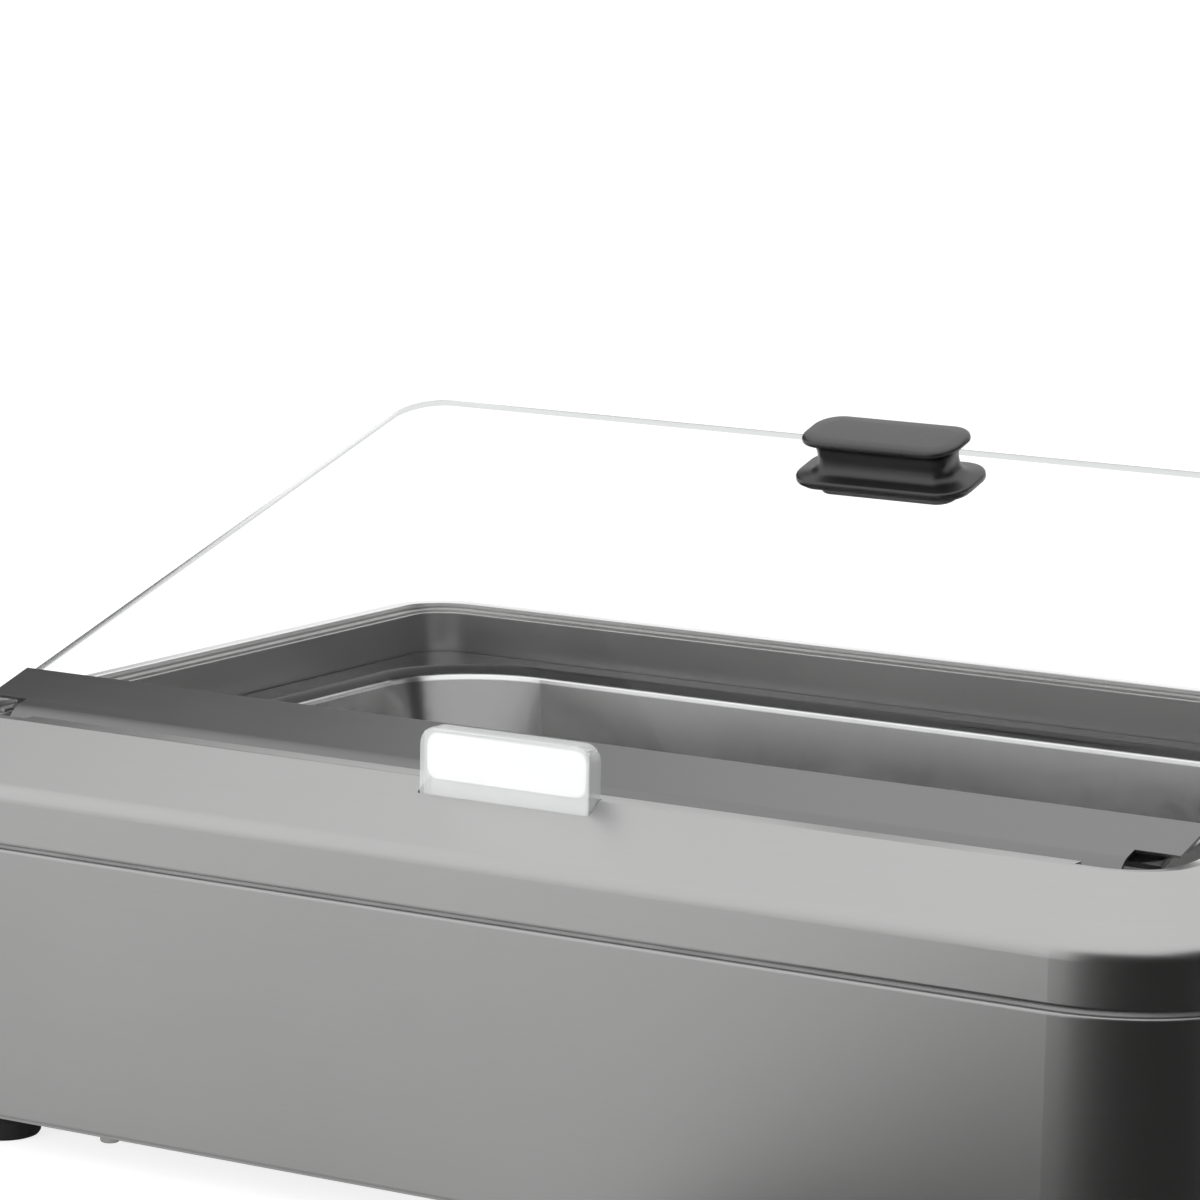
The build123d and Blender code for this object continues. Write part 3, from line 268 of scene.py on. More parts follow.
sheet_steel = metal(
    "brushed_sheet", (0.52, 0.52, 0.517), 0.36, ROUND_BODY, 3.0, vary=0.03, relief=0.1,
)
frame_finish(sheet_steel)
panel_steel = metal(
    "brushed_panel", (0.49, 0.49, 0.487), 0.38, ROUND_BODY, 3.0, vary=0.035, relief=0.1,
)
rail_steel = metal(
    "satin_rail", (0.25, 0.25, 0.25), 0.38, ALONG_X, 3.0, vary=0.04, relief=0.08,
)
leaf_steel = metal("leaf_steel", (0.40, 0.40, 0.40), 0.34, ALONG_X, 3.0)
# the pan's steel is kept darker than the body's sheet: painted shade for the well it sits in
pan_steel = metal(
    "drawn_pan", (0.36, 0.36, 0.357), 0.2, ALL_WAYS, 160.0, vary=0.05, relief=0.05, haze=0.05,
)
pan_edge_finish(pan_steel)
basin_steel = metal(
    "drawn_basin", (0.42, 0.42, 0.42), 0.3, ALL_WAYS, 120.0, vary=0.06, relief=0.08,
)
plain_steel = metal(
    "plain_steel", (0.46, 0.46, 0.46), 0.32, ALL_WAYS, 300.0, vary=0.06, relief=0.12,
)
zinc = metal("zinc_plate", (0.52, 0.52, 0.5), 0.36, ALL_WAYS, 600.0, vary=0.1, haze=0.08)
element_steel = metal(
    "annealed_tube", (0.16, 0.14, 0.12), 0.5, ALL_WAYS, 140.0, vary=0.25, relief=0.2, haze=0.1,
)
brass_pins = metal("plated_pins", (0.62, 0.6, 0.55), 0.25, ALL_WAYS, 400.0)
black_plastic = plastic("black_plastic", (0.018, 0.018, 0.018), 0.36)
handle_plastic = plastic("handle_plastic", (0.006, 0.006, 0.006), 0.36, 1500.0, relief=0.1)
shader_of(handle_plastic).inputs["Specular IOR Level"].default_value = 1.0
dark_seal = plastic("dark_seal", (0.22, 0.22, 0.22), 0.6, 900.0)
pale_silicone = plastic("pale_silicone", (0.34, 0.34, 0.335), 0.45, 700.0)
grey_silicone = plastic("grey_silicone", (0.10, 0.10, 0.10), 0.5, 700.0)
foot_rubber = plastic("foot_rubber", (0.025, 0.025, 0.025), 0.72, 1100.0, relief=0.3)
mark_paint = plastic("mark_paint", (0.85, 0.85, 0.85), 0.5, 900.0, relief=0.05, vary=0.02)
ink = plastic("panel_ink", (0.03, 0.03, 0.03), 0.5, 900.0, relief=0.05)
lens_amber = plastic("lens_amber", (0.75, 0.16, 0.02), 0.16, 500.0, relief=0.03)
board = plastic("mineral_board", (0.72, 0.69, 0.6), 0.9, 260.0, relief=0.6, vary=0.12)
steatite = plastic("steatite", (0.8, 0.78, 0.72), 0.45, 500.0, relief=0.15, vary=0.04)
card_stock = plastic("card_stock", (0.93, 0.93, 0.92), 0.7, 1300.0, relief=0.08, vary=0.01)
edge_glass = clear("ground_edge", (0.45, 0.47, 0.46), 0.3, ior=1.2, streak=0.1)
# a low index, because the even white surroundings put a veil over the well at a real one
lid_glass = clear("lid_glass", (0.985, 0.99, 0.988), 0.0, ior=1.06, streak=0.01)
acrylic = plastic("clear_acrylic", (0.88, 0.89, 0.89), 0.12, 60.0, relief=0.02, vary=0.02)
shader_of(acrylic).inputs["Alpha"].default_value = 0.34

cad_looks = {
    sheet_steel: ["top_frame"],
    panel_steel: ["outer_housing", "control_tray", "label_pocket", "base_plate"],
    rail_steel: ["lid_rail"],
    leaf_steel: ["hinge_leaf", "hinge_bracket_1", "hinge_bracket_2", "handle_backing"],
    pan_steel: ["food_pan"],
    basin_steel: ["water_basin", "heat_shield", "clamp_bar_1", "clamp_bar_2"],
    plain_steel: ["safety_cutout", "hinge_pin_1", "hinge_pin_2", "thermostat_shaft"],
    zinc: [
        "frame_nuts", "base_nuts", "foot_nuts", "clamp_nuts", "shield_nuts", "bracket_nuts",
        "rail_nuts", "frame_screws", "base_screws", "foot_screws", "bracket_screws",
        "tray_screws", "inlet_screws", "handle_screws",
    ],
    element_steel: ["heating_element"],
    brass_pins: ["inlet_pins"],
    black_plastic: [
        "control_dial", "inlet_socket", "switch_housing", "switch_rocker", "thermostat_body",
        "lamp_holder",
    ],
    handle_plastic: ["lid_handle"],
    dark_seal: ["seam_seal"],
    pale_silicone: ["ledge_gasket"],
    grey_silicone: ["clamp_pad", "handle_washer"],
    foot_rubber: ["foot_1", "foot_2", "foot_3", "foot_4"],
    acrylic: ["label_holder"],
    card_stock: ["label_card"],
    lid_glass: ["glass_pane"],
    board: ["insulation_board"],
    lens_amber: ["lamp_lens"],
    steatite: ["terminal_block"],
}
for look, names in cad_looks.items():
    for name in names:
        mesh = nodes[name].data
        mesh.materials.clear()
        mesh.materials.append(look)


# Mesh tools
def piece(name, shape, look, body, replaced=(), smooth=35.0):
    """Turns a bmesh into a piece of the object that rides on a body."""
    bmesh.ops.remove_doubles(shape, verts=shape.verts[:], dist=WELD_DISTANCE)
    bmesh.ops.recalc_face_normals(shape, faces=shape.faces[:])
    mesh = bpy.data.meshes.new(name)
    shape.to_mesh(mesh)
    shape.free()
    mesh.materials.append(look)
    made = bpy.data.objects.new(name, mesh)
    bpy.context.scene.collection.objects.link(made)
    mesh.shade_smooth()
    mesh.set_sharp_from_angle(angle=math.radians(smooth))
    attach(made, body)
    if replaced:
        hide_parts(*replaced)
    return made


def outline(shape, length, width, radius, height, steps):
    """Rounded rectangle in millimetres: a quad with bevelled corners."""
    made = bmesh.ops.create_grid(shape, x_segments=1, y_segments=1, size=0.5)
    corners = made["verts"]
    bmesh.ops.scale(shape, vec=(length * MM, width * MM, 1.0), verts=corners)
    bmesh.ops.translate(shape, vec=(0.0, 0.0, height * MM), verts=corners)
    rounded = bmesh.ops.bevel(
        shape, geom=corners, offset=radius * MM, segments=steps, profile=0.5,
        affect="VERTICES", material=-1,
    )
    return rounded["verts"][0].link_faces[0]


def loft(sections, steps):
    """Solid through rounded rectangles (length, width, corner radius, height)."""
    shape = bmesh.new()
    loops = []
    for number, (length, width, radius, height) in enumerate(sections):
        face = outline(shape, length, width, radius, height, steps)
        loops.append(face.edges[:])
        if 0 < number < len(sections) - 1:
            bmesh.ops.delete(shape, geom=[face], context="FACES_ONLY")
    for low, high in zip(loops, loops[1:]):
        bmesh.ops.bridge_loops(shape, edges=low + high)
    return shape


def lathe(profile, steps):
    """Closed solid of revolution about local Z from (radius, height) points in millimetres."""
    shape = bmesh.new()
    corners = [shape.verts.new((radius * MM, 0.0, height * MM)) for radius, height in profile]
    edges = [shape.edges.new(pair) for pair in zip(corners, corners[1:])]
    bmesh.ops.spin(
        shape, geom=corners + edges, cent=(0, 0, 0), axis=(0, 0, 1), angle=2 * math.pi,
        steps=steps, use_merge=True,
    )
    bmesh.ops.remove_doubles(shape, verts=shape.verts[:], dist=WELD_DISTANCE)
    return shape


def join(target, other, matrix):
    """Adds a placed copy of one bmesh to another."""
    bmesh.ops.transform(other, matrix=matrix, verts=other.verts[:])
    mesh = bpy.data.meshes.new("part")
    other.to_mesh(mesh)
    other.free()
    target.from_mesh(mesh)
    bpy.data.meshes.remove(mesh)


def placed(shape, matrix):
    """The bmesh itself, moved."""
    bmesh.ops.transform(shape, matrix=matrix, verts=shape.verts[:])
    return shape


def solids_of(name):
    """Boxes of the separate solids in a CAD node, left to right."""
    shape = bmesh.new()
    shape.from_mesh(nodes[name].data)
    bmesh.ops.remove_doubles(shape, verts=shape.verts[:], dist=WELD_DISTANCE)
    left = set(shape.verts)
    boxes = []
    while left:
        front = [left.pop()]
        island = list(front)
        while front:
            for edge in front.pop().link_edges:
                for vert in edge.verts:
                    if vert in left:
                        left.remove(vert)
                        front.append(vert)
                        island.append(vert)
        low = Vector([min(vert.co[axis] for vert in island) for axis in range(3)])
        high = Vector([max(vert.co[axis] for vert in island) for axis in range(3)])
        boxes.append((low, high))
    shape.free()
    return sorted(boxes, key=lambda pair: (round(pair[0].x, 4), round(pair[0].y, 4)))


# Camera at the photograph's place, solved from its straight edges
FOCAL_PX = 5362.0
PHOTO_PX = 1200.0
SENSOR_MM = 36.0
CAMERA_PLACE = Vector((1.07262, -1.90107, 0.58134))
CAMERA_TURN = math.radians(31.059)
CAMERA_DIP = math.radians(9.173)
CAMERA_ROLL = math.radians(1.174)
view_dir = Vector((
    -math.sin(CAMERA_TURN) * math.cos(CAMERA_DIP),
    math.cos(CAMERA_TURN) * math.cos(CAMERA_DIP),
    -math.sin(CAMERA_DIP),
))
level = Vector((math.cos(CAMERA_TURN), math.sin(CAMERA_TURN), 0.0))
upright = level.cross(view_dir)
right = level * math.cos(CAMERA_ROLL) + upright * math.sin(CAMERA_ROLL)
up = upright * math.cos(CAMERA_ROLL) - level * math.sin(CAMERA_ROLL)
lens = bpy.data.cameras.new("photo_camera")
lens.sensor_fit = "HORIZONTAL"
lens.sensor_width = SENSOR_MM
lens.lens = FOCAL_PX / PHOTO_PX * SENSOR_MM
lens.clip_start = 0.05
lens.clip_end = 50.0
camera = bpy.data.objects.new("photo_camera", lens)
camera.matrix_world = axes(CAMERA_PLACE, right, up, -view_dir)
bpy.context.scene.collection.objects.link(camera)
bpy.context.scene.camera = camera


# Studio: pale floor that keeps the shadow, white background, soft lamps
WORLD_LIGHT = 0.55
FLOOR_SIZE = 80.0
FLOOR_GREY = 0.41
FLOOR_GLOW = 0.8
FLOOR_GLOW_IN_METAL = 0.15
BODY_MIDDLE = (0.0, 0.0, 0.15)


def seen_directly(tree, glossy_share=1.0):
    """1 for camera and glass rays, which show the background, and a share for reflections."""
    path = tree.nodes.new("ShaderNodeLightPath")
    total = path.outputs["Is Camera Ray"]
    for name, share in (("Is Glossy Ray", glossy_share), ("Is Transmission Ray", 1.0)):
        total = chain(tree, "MAXIMUM", total, chain(tree, "MULTIPLY", path.outputs[name], share))
    return total


def aimed(place, target, axis):
    """Placement whose local axis points at the target."""
    aim = (Vector(target) - Vector(place)).to_track_quat(axis, "Y")
    return Matrix.Translation(place) @ aim.to_matrix().to_4x4()


def studio_sheet(name, width, height, look):
    """Flat rectangle that belongs to the studio and not to the object."""
    shape = bmesh.new()
    bmesh.ops.create_grid(shape, x_segments=1, y_segments=1, size=0.5)
    bmesh.ops.scale(shape, vec=(width, height, 1.0), verts=shape.verts[:])
    mesh = bpy.data.meshes.new(name)
    shape.to_mesh(mesh)
    shape.free()
    mesh.materials.append(look)
    sheet = bpy.data.objects.new(name, mesh)
    bpy.context.scene.collection.objects.link(sheet)
    return sheet


def soft_lamp(name, place, width, height, power):
    data = bpy.data.lights.new(name, "AREA")
    data.shape = "RECTANGLE"
    data.size = width
    data.size_y = height
    data.energy = power
    lamp = bpy.data.objects.new(name, data)
    lamp.matrix_world = aimed(place, BODY_MIDDLE, "-Z")
    bpy.context.scene.collection.objects.link(lamp)
    # the steel reflects the even white background; the lamps only light the matt surfaces
    lamp.visible_glossy = False
    lamp.visible_transmission = False


def dark_flag(name, place, facing, width, height):
    """Dark cloth that only reflections see."""
    flag = studio_sheet(name, width, height, flag_look)
    flag.matrix_world = aimed(place, facing, "Z")
    flag.visible_camera = False
    flag.visible_diffuse = False
    flag.visible_shadow = False
    flag.visible_transmission = False


world = bpy.data.worlds.new("studio")
bpy.context.scene.world = world
world.use_nodes = True
tree = world.node_tree
background = tree.nodes["Background"]
background.inputs["Color"].default_value = (1.0, 1.0, 1.0, 1.0)
strength = remap(tree, seen_directly(tree), 0.0, 1.0, WORLD_LIGHT, 1.0)
tree.links.new(strength, background.inputs["Strength"])

floor_look, tree, shader = new_material("pale_floor")
shader.inputs["Base Color"].default_value = (FLOOR_GREY, FLOOR_GREY, FLOOR_GREY, 1.0)
shader.inputs["Roughness"].default_value = 0.9
shader.inputs["Specular IOR Level"].default_value = 0.1
shader.inputs["Emission Color"].default_value = (1.0, 1.0, 1.0, 1.0)
glow = chain(tree, "MULTIPLY", seen_directly(tree, FLOOR_GLOW_IN_METAL), FLOOR_GLOW)
tree.links.new(glow, shader.inputs["Emission Strength"])
floor = studio_sheet("floor", FLOOR_SIZE, FLOOR_SIZE, floor_look)

soft_lamp("top_lamp", (-0.5, 0.3, 2.2), 2.4, 1.8, 13.5)
soft_lamp("left_lamp", (-2.4, -0.9, 1.3), 1.4, 1.4, 6.0)
soft_lamp("front_lamp", (-0.6, -2.6, 1.1), 1.6, 1.2, 70.0)

flag_look, tree, shader = new_material("flag_cloth")
shader.inputs["Base Color"].default_value = (0.02, 0.02, 0.02, 1.0)
shader.inputs["Roughness"].default_value = 1.0
dark_flag("right_flag", (1.0, 0.55, 0.5), (0.0, 0.55, 0.5), 2.2, 1.0)
dark_flag("front_right_flag", (0.72, -0.82, 0.42), (0.32, -0.15, 0.42), 1.5, 0.84)
dark_flag("floor_flag", (0.83, -0.52, 0.003), (0.83, -0.52, 1.0), 1.55, 0.8)
dark_flag("left_flag", (-1.26, 0.52, 0.85), (-0.2, -0.15, 0.18), 1.1, 0.9)

# Lid handle: one moulded spool with a rounded foot, a drawn-in waist and a crowned top plate
HANDLE_V = 296.0
HANDLE_BOTTOM = 10.6
HANDLE_SECTIONS = [
    (81.0, 33.0, 12.0, 0.0), (83.4, 35.4, 12.8, 0.3), (84.0, 36.0, 13.0, 0.9),
    (84.0, 36.0, 13.0, 2.4), (83.4, 35.4, 12.8, 3.0), (82.0, 34.0, 12.2, 3.4),
    (72.0, 26.5, 9.8, 3.9), (67.0, 22.6, 8.6, 5.4), (64.6, 20.4, 7.6, 8.0),
    (64.0, 20.0, 7.4, 11.0), (64.8, 20.8, 7.8, 14.4), (67.4, 23.2, 9.0, 16.8),
    (71.5, 27.4, 10.4, 17.9), (73.6, 29.6, 11.0, 18.1), (74.7, 30.7, 11.4, 18.5),
    (75.0, 31.0, 11.6, 19.2), (74.7, 30.7, 11.4, 20.1), (73.8, 29.8, 11.0, 20.7),
    (72.0, 28.0, 10.2, 21.0), (60.0, 18.0, 6.0, 21.15),
]
handle = loft(HANDLE_SECTIONS, steps=10)
handle_spot = LID @ Matrix.Translation((0.0, HANDLE_V * MM, HANDLE_BOTTOM * MM))
piece("handle_spool", placed(handle, handle_spot), handle_plastic, "lid",
      ["lid_handle"], 50.0)

# Clear holder of the label's card, in millimetres
HOLDER_CORNER = 7.0
HOLDER_RIM = 1.0
HOLDER_WALL = 2.0
RIM_ANGLE = 1.2  # radians; sharper edges are rounded


def foot_of(shape):
    return min(shape.faces, key=lambda face: face.calc_center_median().y)


def pulled(shape, faces, way):
    """Extrudes the faces and moves the new ones."""
    swept = bmesh.ops.extrude_face_region(shape, geom=faces)
    moved = [item for item in swept["geom"] if isinstance(item, bmesh.types.BMVert)]
    bmesh.ops.translate(shape, vec=way, verts=moved)


def holder_shell(width, height, depth):
    """Rounded block, hollow and open at its foot, in metres."""
    shape = bmesh.new()
    front = bmesh.ops.create_grid(shape, x_segments=1, y_segments=1, size=0.5)["verts"]
    bmesh.ops.scale(shape, vec=(width, height, 1.0), verts=front)
    top_corners = [vert for vert in shape.verts if vert.co.y > 0]
    bmesh.ops.bevel(shape, geom=top_corners, offset=HOLDER_CORNER * MM, segments=10,
                    profile=0.5, affect="VERTICES", material=-1)
    pulled(shape, shape.faces[:], (0.0, 0.0, depth))
    bmesh.ops.recalc_face_normals(shape, faces=shape.faces[:])
    foot = foot_of(shape)
    rim = [edge for edge in shape.edges
           if len(edge.link_faces) == 2 and edge.calc_face_angle(0) > RIM_ANGLE
           and foot not in edge.link_faces]
    bmesh.ops.bevel(shape, geom=rim, offset=HOLDER_RIM * MM, segments=4, profile=0.5,
                    affect="EDGES", material=-1)
    foot = foot_of(shape)
    bmesh.ops.inset_region(shape, faces=[foot], thickness=HOLDER_WALL * MM)
    pulled(shape, [foot], (0.0, height - HOLDER_WALL * MM, 0.0))
    bmesh.ops.delete(shape, geom=[foot], context="FACES_ONLY")
    return shape


holder_low, holder_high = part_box("label_holder")
holder_size = holder_high - holder_low
holder = holder_shell(holder_size.x, holder_size.z, holder_size.y)
holder_middle = (holder_low + holder_high) / 2
holder_spot = axes(
    Vector((holder_middle.x, holder_high.y, holder_middle.z)),
    Vector((1, 0, 0)), Vector((0, 0, 1)), Vector((0, -1, 0)),
)
piece("clear_label_holder", placed(holder, holder_spot), acrylic, "label",
      ["label_holder"], 40.0)


# Glass pane: arrised edges and drilled holes, made from a flat curve, in millimetres
PANE_LENGTH = 538.0
PANE_START, PANE_END = 4.5, 335.0
PANE_MIDDLE = (PANE_START + PANE_END) / 2
PANE_BOTTOM = 5.6
PANE_THICKNESS = 4.0
PANE_CORNER = 20.5
PANE_ARRIS = 0.7
HOLE_RADIUS = 3.6
RAIL_HOLES, RAIL_HOLE_PITCH, RAIL_HOLE_V = 6, 92.0, 20.0
HANDLE_HOLE_X = 20.0
QUARTER_CIRCLE = 0.5523
FLAT_FACE = 0.9


def flat_plate(length, width, radius, holes, thickness, edge):
    """Plate with round holes, its underside at 0; the curve's own bevel rounds its edges."""
    curve = bpy.data.curves.new("plate", "CURVE")
    curve.dimensions = "2D"
    curve.fill_mode = "BOTH"
    curve.resolution_u = 8
    half_x = length / 2 - radius
    half_y = width / 2 - radius
    for centre_x, centre_y, hole_radius in holes:
        add_round(curve, [(centre_x, centre_y, turn) for turn in range(4)], hole_radius)
    corners = [(half_x, half_y, 0), (-half_x, half_y, 1), (-half_x, -half_y, 2),
               (half_x, -half_y, 3)]
    add_round(curve, corners, radius)
    curve.extrude = (thickness / 2 - edge) * MM
    curve.bevel_depth = edge * MM
    curve.bevel_resolution = 2
    curve.offset = -edge * MM
    flat = bpy.data.objects.new("plate", curve)
    bpy.context.scene.collection.objects.link(flat)
    mesh = bpy.data.meshes.new_from_object(flat)
    bpy.data.objects.remove(flat)
    shape = bmesh.new()
    shape.from_mesh(mesh)
    bpy.data.meshes.remove(mesh)
    bmesh.ops.translate(shape, vec=(0, 0, thickness / 2 * MM), verts=shape.verts[:])
    return shape


def add_round(curve, corners, radius):
    """Closed spline through quarter circles; a corner is (x, y, number of quarter turns)."""
    spline = curve.splines.new("BEZIER")
    spline.bezier_points.add(2 * len(corners) - 1)
    reach = radius * QUARTER_CIRCLE
    for number, (x, y, turn) in enumerate(corners):
        for step in (0, 1):
            angle = math.radians(90 * (turn + step))
            out = Vector((math.cos(angle), math.sin(angle), 0.0))
            side = Vector((-out.y, out.x, 0.0))
            point = spline.bezier_points[2 * number + step]
            spot = Vector((x, y, 0.0)) + out * radius
            point.handle_left_type = point.handle_right_type = "FREE"
            point.co = spot * MM
            point.handle_left = (spot - side * reach * step) * MM
            point.handle_right = (spot + side * reach * (1 - step)) * MM
    spline.use_cyclic_u = True


pane_holes = [
    ((number - (RAIL_HOLES - 1) / 2) * RAIL_HOLE_PITCH, RAIL_HOLE_V - PANE_MIDDLE, HOLE_RADIUS)
    for number in range(RAIL_HOLES)
]
pane_holes += [(side * HANDLE_HOLE_X, HANDLE_V - PANE_MIDDLE, HOLE_RADIUS) for side in (-1, 1)]
pane = flat_plate(PANE_LENGTH, PANE_END - PANE_START, PANE_CORNER, pane_holes,
                  PANE_THICKNESS, PANE_ARRIS)
pane_spot = LID @ Matrix.Translation((0.0, PANE_MIDDLE * MM, PANE_BOTTOM * MM))
lid_pane = piece("lid_pane", placed(pane, pane_spot), lid_glass, "lid",
                 ["glass_pane"], 50.0)
lid_pane.data.materials.append(edge_glass)
for face in lid_pane.data.polygons:
    # the two faces stay truly flat, so that the pane bends no light like a lens
    if abs(face.normal.dot(LID_NORMAL)) > FLAT_FACE:
        face.use_smooth = False
    else:
        face.material_index = 1


# Screws with a hexagon socket, one for each solid of a fastener node, in millimetres
SOCKET_SHARE = 0.48
M4_CAP = (4.0, 2.2, 2.0)
TRAY_SUNK = (3.2, 1.2, 2.0)
INLET_CAP = (3.3, 1.6, 1.75)


def socket_screw(head_radius, head_height, shank_radius, length, sunk):
    """Screw along -Z with its head's top at 0."""
    if sunk:
        head = [(head_radius, 0.0), (shank_radius, -head_height)]
    else:
        head = [(head_radius - 0.7, 0.0), (head_radius - 0.2, -0.35), (head_radius, -0.9),
                (head_radius, -head_height), (shank_radius, -head_height)]
    bore = head_radius * SOCKET_SHARE
    profile = [(0.0, -1.5), (bore, -1.3), (bore, 0.0)] + head
    profile += [(shank_radius, -length + 0.5), (shank_radius - 0.4, -length), (0.0, -length)]
    return lathe(profile, 24)


def dress_screws(name, node, body, inward, size, sunk=False):
    """Screws in the places of a node's solids; inward points from the head to the shank's end."""
    shape = bmesh.new()
    inward = Vector(inward)
    head_radius, head_height, shank_radius = size
    for low, high in solids_of(node):
        length = abs((high - low).dot(inward))
        head_top = (low + high) / 2 - inward * length / 2
        spot = axes(head_top, ACROSS, (-inward).cross(ACROSS), -inward)
        screw = socket_screw(head_radius, head_height, shank_radius, length / MM, sunk)
        join(shape, screw, spot)
    piece(name, shape, zinc, body, [node], 30.0)


ACROSS = Vector((1, 0, 0))
DOWN, UP, SOUTH = (0, 0, -1), (0, 0, 1), (0, -1, 0)
dress_screws("flange_screws", "frame_screws", "root", UP, M4_CAP)
dress_screws("plate_screws", "base_screws", "root", UP, M4_CAP)
dress_screws("sunk_foot_screws", "foot_screws", "root", UP, M4_CAP)
dress_screws("hinge_screws", "bracket_screws", "root", DOWN, M4_CAP)
dress_screws("tray_fixings", "tray_screws", "root", SOUTH, TRAY_SUNK, sunk=True)
dress_screws("inlet_fixings", "inlet_screws", "root", SOUTH, INLET_CAP)

# Control dial: skirt, fluted grip and white pointer line, in millimetres
DIAL = REAR @ Matrix.Translation((0.066, 0.0, 0.0))
DIAL_PROFILE = [
    (3.1, 0.6), (18.4, 0.6), (19.0, 1.0), (19.0, 4.6), (18.5, 5.3), (16.6, 5.6), (15.9, 6.4),
    (15.4, 16.0), (15.0, 17.6), (13.8, 18.5), (12.4, 18.6), (11.8, 18.0), (10.6, 17.9),
    (0.0, 17.9),
]
DIAL_STEPS = 108
FLUTES = 18
FLUTE_DEPTH = 0.9
GRIP_LOW, GRIP_HIGH, GRIP_RADIUS = 6.0, 18.0, 14.6
dial = lathe(DIAL_PROFILE, DIAL_STEPS)
for vert in dial.verts:
    reach = math.hypot(vert.co.x, vert.co.y)
    if not GRIP_LOW * MM < vert.co.z < GRIP_HIGH * MM or reach <= GRIP_RADIUS * MM:
        continue
    angle = math.atan2(vert.co.y, vert.co.x)
    sunk = FLUTE_DEPTH * MM * max(0.0, math.cos(FLUTES * angle)) ** 2
    vert.co.x *= (reach - sunk) / reach
    vert.co.y *= (reach - sunk) / reach
piece("dial_knob", placed(dial, DIAL), black_plastic, "dial",
      ["control_dial"], 40.0)


def bar(length, width, thick, matrix):
    """Thin bar with broken edges, in millimetres."""
    shape = bmesh.new()
    bmesh.ops.create_cube(shape, size=1.0)
    bmesh.ops.scale(shape, vec=(length * MM, width * MM, thick * MM), verts=shape.verts[:])
    bmesh.ops.bevel(shape, geom=shape.edges[:], offset=thick * MM * 0.25, segments=2, profile=0.5,
                    affect="EDGES", material=-1)
    return placed(shape, matrix)


UNMOVED = Matrix.Identity(4)
pointer = bar(1.4, 11.0, 0.5, DIAL @ Matrix.Translation((0.0, 0.0095, 0.01805)))
skirt_line = bar(1.2, 3.2, 0.4, UNMOVED)
join(pointer, skirt_line, DIAL @ Matrix.Translation((0.0, 0.0172, 0.0054)))
piece("dial_pointer", pointer, mark_paint, "dial")


def text_shape(words, size, matrix):
    """Raised lettering, its size in millimetres."""
    curve = bpy.data.curves.new("mark", "FONT")
    curve.body = words
    curve.size = size * MM
    curve.align_x = "CENTER"
    curve.align_y = "CENTER"
    curve.extrude = LETTER_DEPTH * MM
    lettering = bpy.data.objects.new("mark", curve)
    bpy.context.scene.collection.objects.link(lettering)
    mesh = bpy.data.meshes.new_from_object(lettering)
    bpy.data.objects.remove(lettering)
    shape = bmesh.new()
    shape.from_mesh(mesh)
    bpy.data.meshes.remove(mesh)
    return placed(shape, matrix)


# Numbers and ticks round the dial, printed on the tray
LETTER_DEPTH = 0.04
LAST_NUMBER = 9
DIAL_SWEEP = 270
NUMBER_RADIUS, TICK_RADIUS = 0.0255, 0.0213
PRINT_LIFT = Vector((0, 0, 0.00006))
marks = bmesh.new()
for number in range(LAST_NUMBER + 1):
    angle = math.radians(90 - DIAL_SWEEP * number / LAST_NUMBER)
    out = Vector((math.cos(angle), math.sin(angle), 0.0))
    spot = DIAL @ Matrix.Translation(out * NUMBER_RADIUS + PRINT_LIFT)
    join(marks, text_shape(str(number), 4.2, UNMOVED), spot)
    tick = DIAL @ Matrix.Translation(out * TICK_RADIUS + PRINT_LIFT)
    tick = tick @ Matrix.Rotation(angle, 4, "Z")
    join(marks, bar(2.0, 0.5, 0.1, UNMOVED), tick)
piece("dial_numbers", marks, ink, "root")

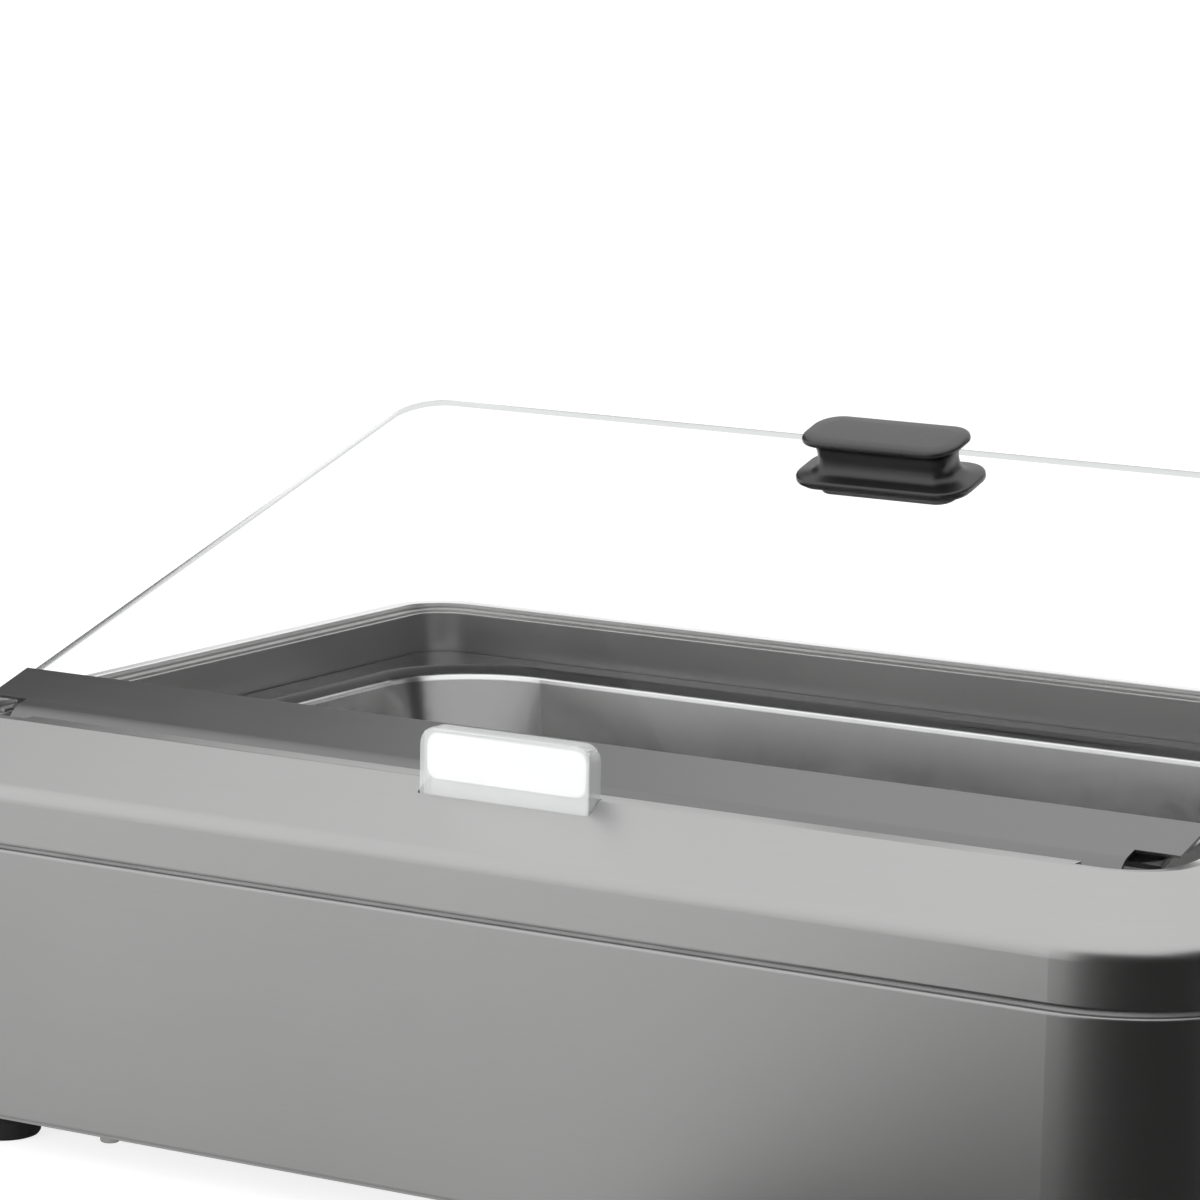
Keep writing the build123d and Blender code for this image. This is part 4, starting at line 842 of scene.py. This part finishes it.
# Rocker marks: I on the upper half, O on the lower
ROCKER_TILT = math.radians(11.0)
FACE_TILT = math.atan2(1.4, 12.6)
MARK_REACH, MARK_LIFT = 0.0065, 0.00275
rocker_up = Vector((0.0, -math.sin(ROCKER_TILT), math.cos(ROCKER_TILT)))
rocker_out = Vector((0.0, math.cos(ROCKER_TILT), math.sin(ROCKER_TILT)))
ROCKER = axes(Vector((-0.012, 0.193, 0.076)), Vector((-1, 0, 0)), rocker_up, rocker_out)
stroke_spot, ring_spot = (
    ROCKER @ Matrix.Translation((0.0, side * MARK_REACH, MARK_LIFT))
    @ Matrix.Rotation(side * FACE_TILT, 4, "X")
    for side in (1, -1)
)
rocker_marks = bar(0.8, 4.6, 0.12, stroke_spot)
ring = lathe([(1.7, -0.05), (2.4, -0.05), (2.4, 0.06), (1.7, 0.06), (1.7, -0.05)], 32)
join(rocker_marks, ring, ring_spot)
piece("rocker_marks", rocker_marks, mark_paint, "rocker")

# Pilot lamp's lens: stepped dome, as (radius, height) in millimetres
LENS_PROFILE = [
    (0.0, 0.05), (5.4, 0.05), (5.5, 0.5), (5.5, 2.2), (5.0, 2.6), (4.6, 2.6), (4.4, 3.0),
    (3.4, 3.7), (1.8, 4.0), (0.0, 4.05),
]
lens_spot = REAR @ Matrix.Translation((-0.016, 0.0, 0.0))
piece("lamp_dome", placed(lathe(LENS_PROFILE, 32), lens_spot), lens_amber,
      "root", ["lamp_lens"], 30.0)

# Feet: moulded rubber with a grooved side and a sunk screw bore, in millimetres
FOOT_PROFILE = [
    (2.3, 8.1), (5.0, 8.1), (5.0, 0.6), (5.6, 0.0), (14.0, 0.0), (15.3, 0.5), (16.2, 1.8),
    (16.9, 8.0), (16.5, 8.6), (16.6, 9.6), (17.2, 10.2), (18.6, 19.8), (18.8, 21.4),
    (18.3, 22.0), (2.3, 22.0), (2.3, 8.1),
]
for number in (1, 2, 3, 4):
    low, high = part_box(f"foot_{number}")
    middle = (low + high) / 2
    foot_spot = Matrix.Translation((middle.x, middle.y, 0.0))
    piece(f"rubber_foot_{number}", placed(lathe(FOOT_PROFILE, 56), foot_spot),
          foot_rubber, "root", [f"foot_{number}"], 40.0)

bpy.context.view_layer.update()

scene = bpy.context.scene
scene.view_settings.view_transform = "Standard"
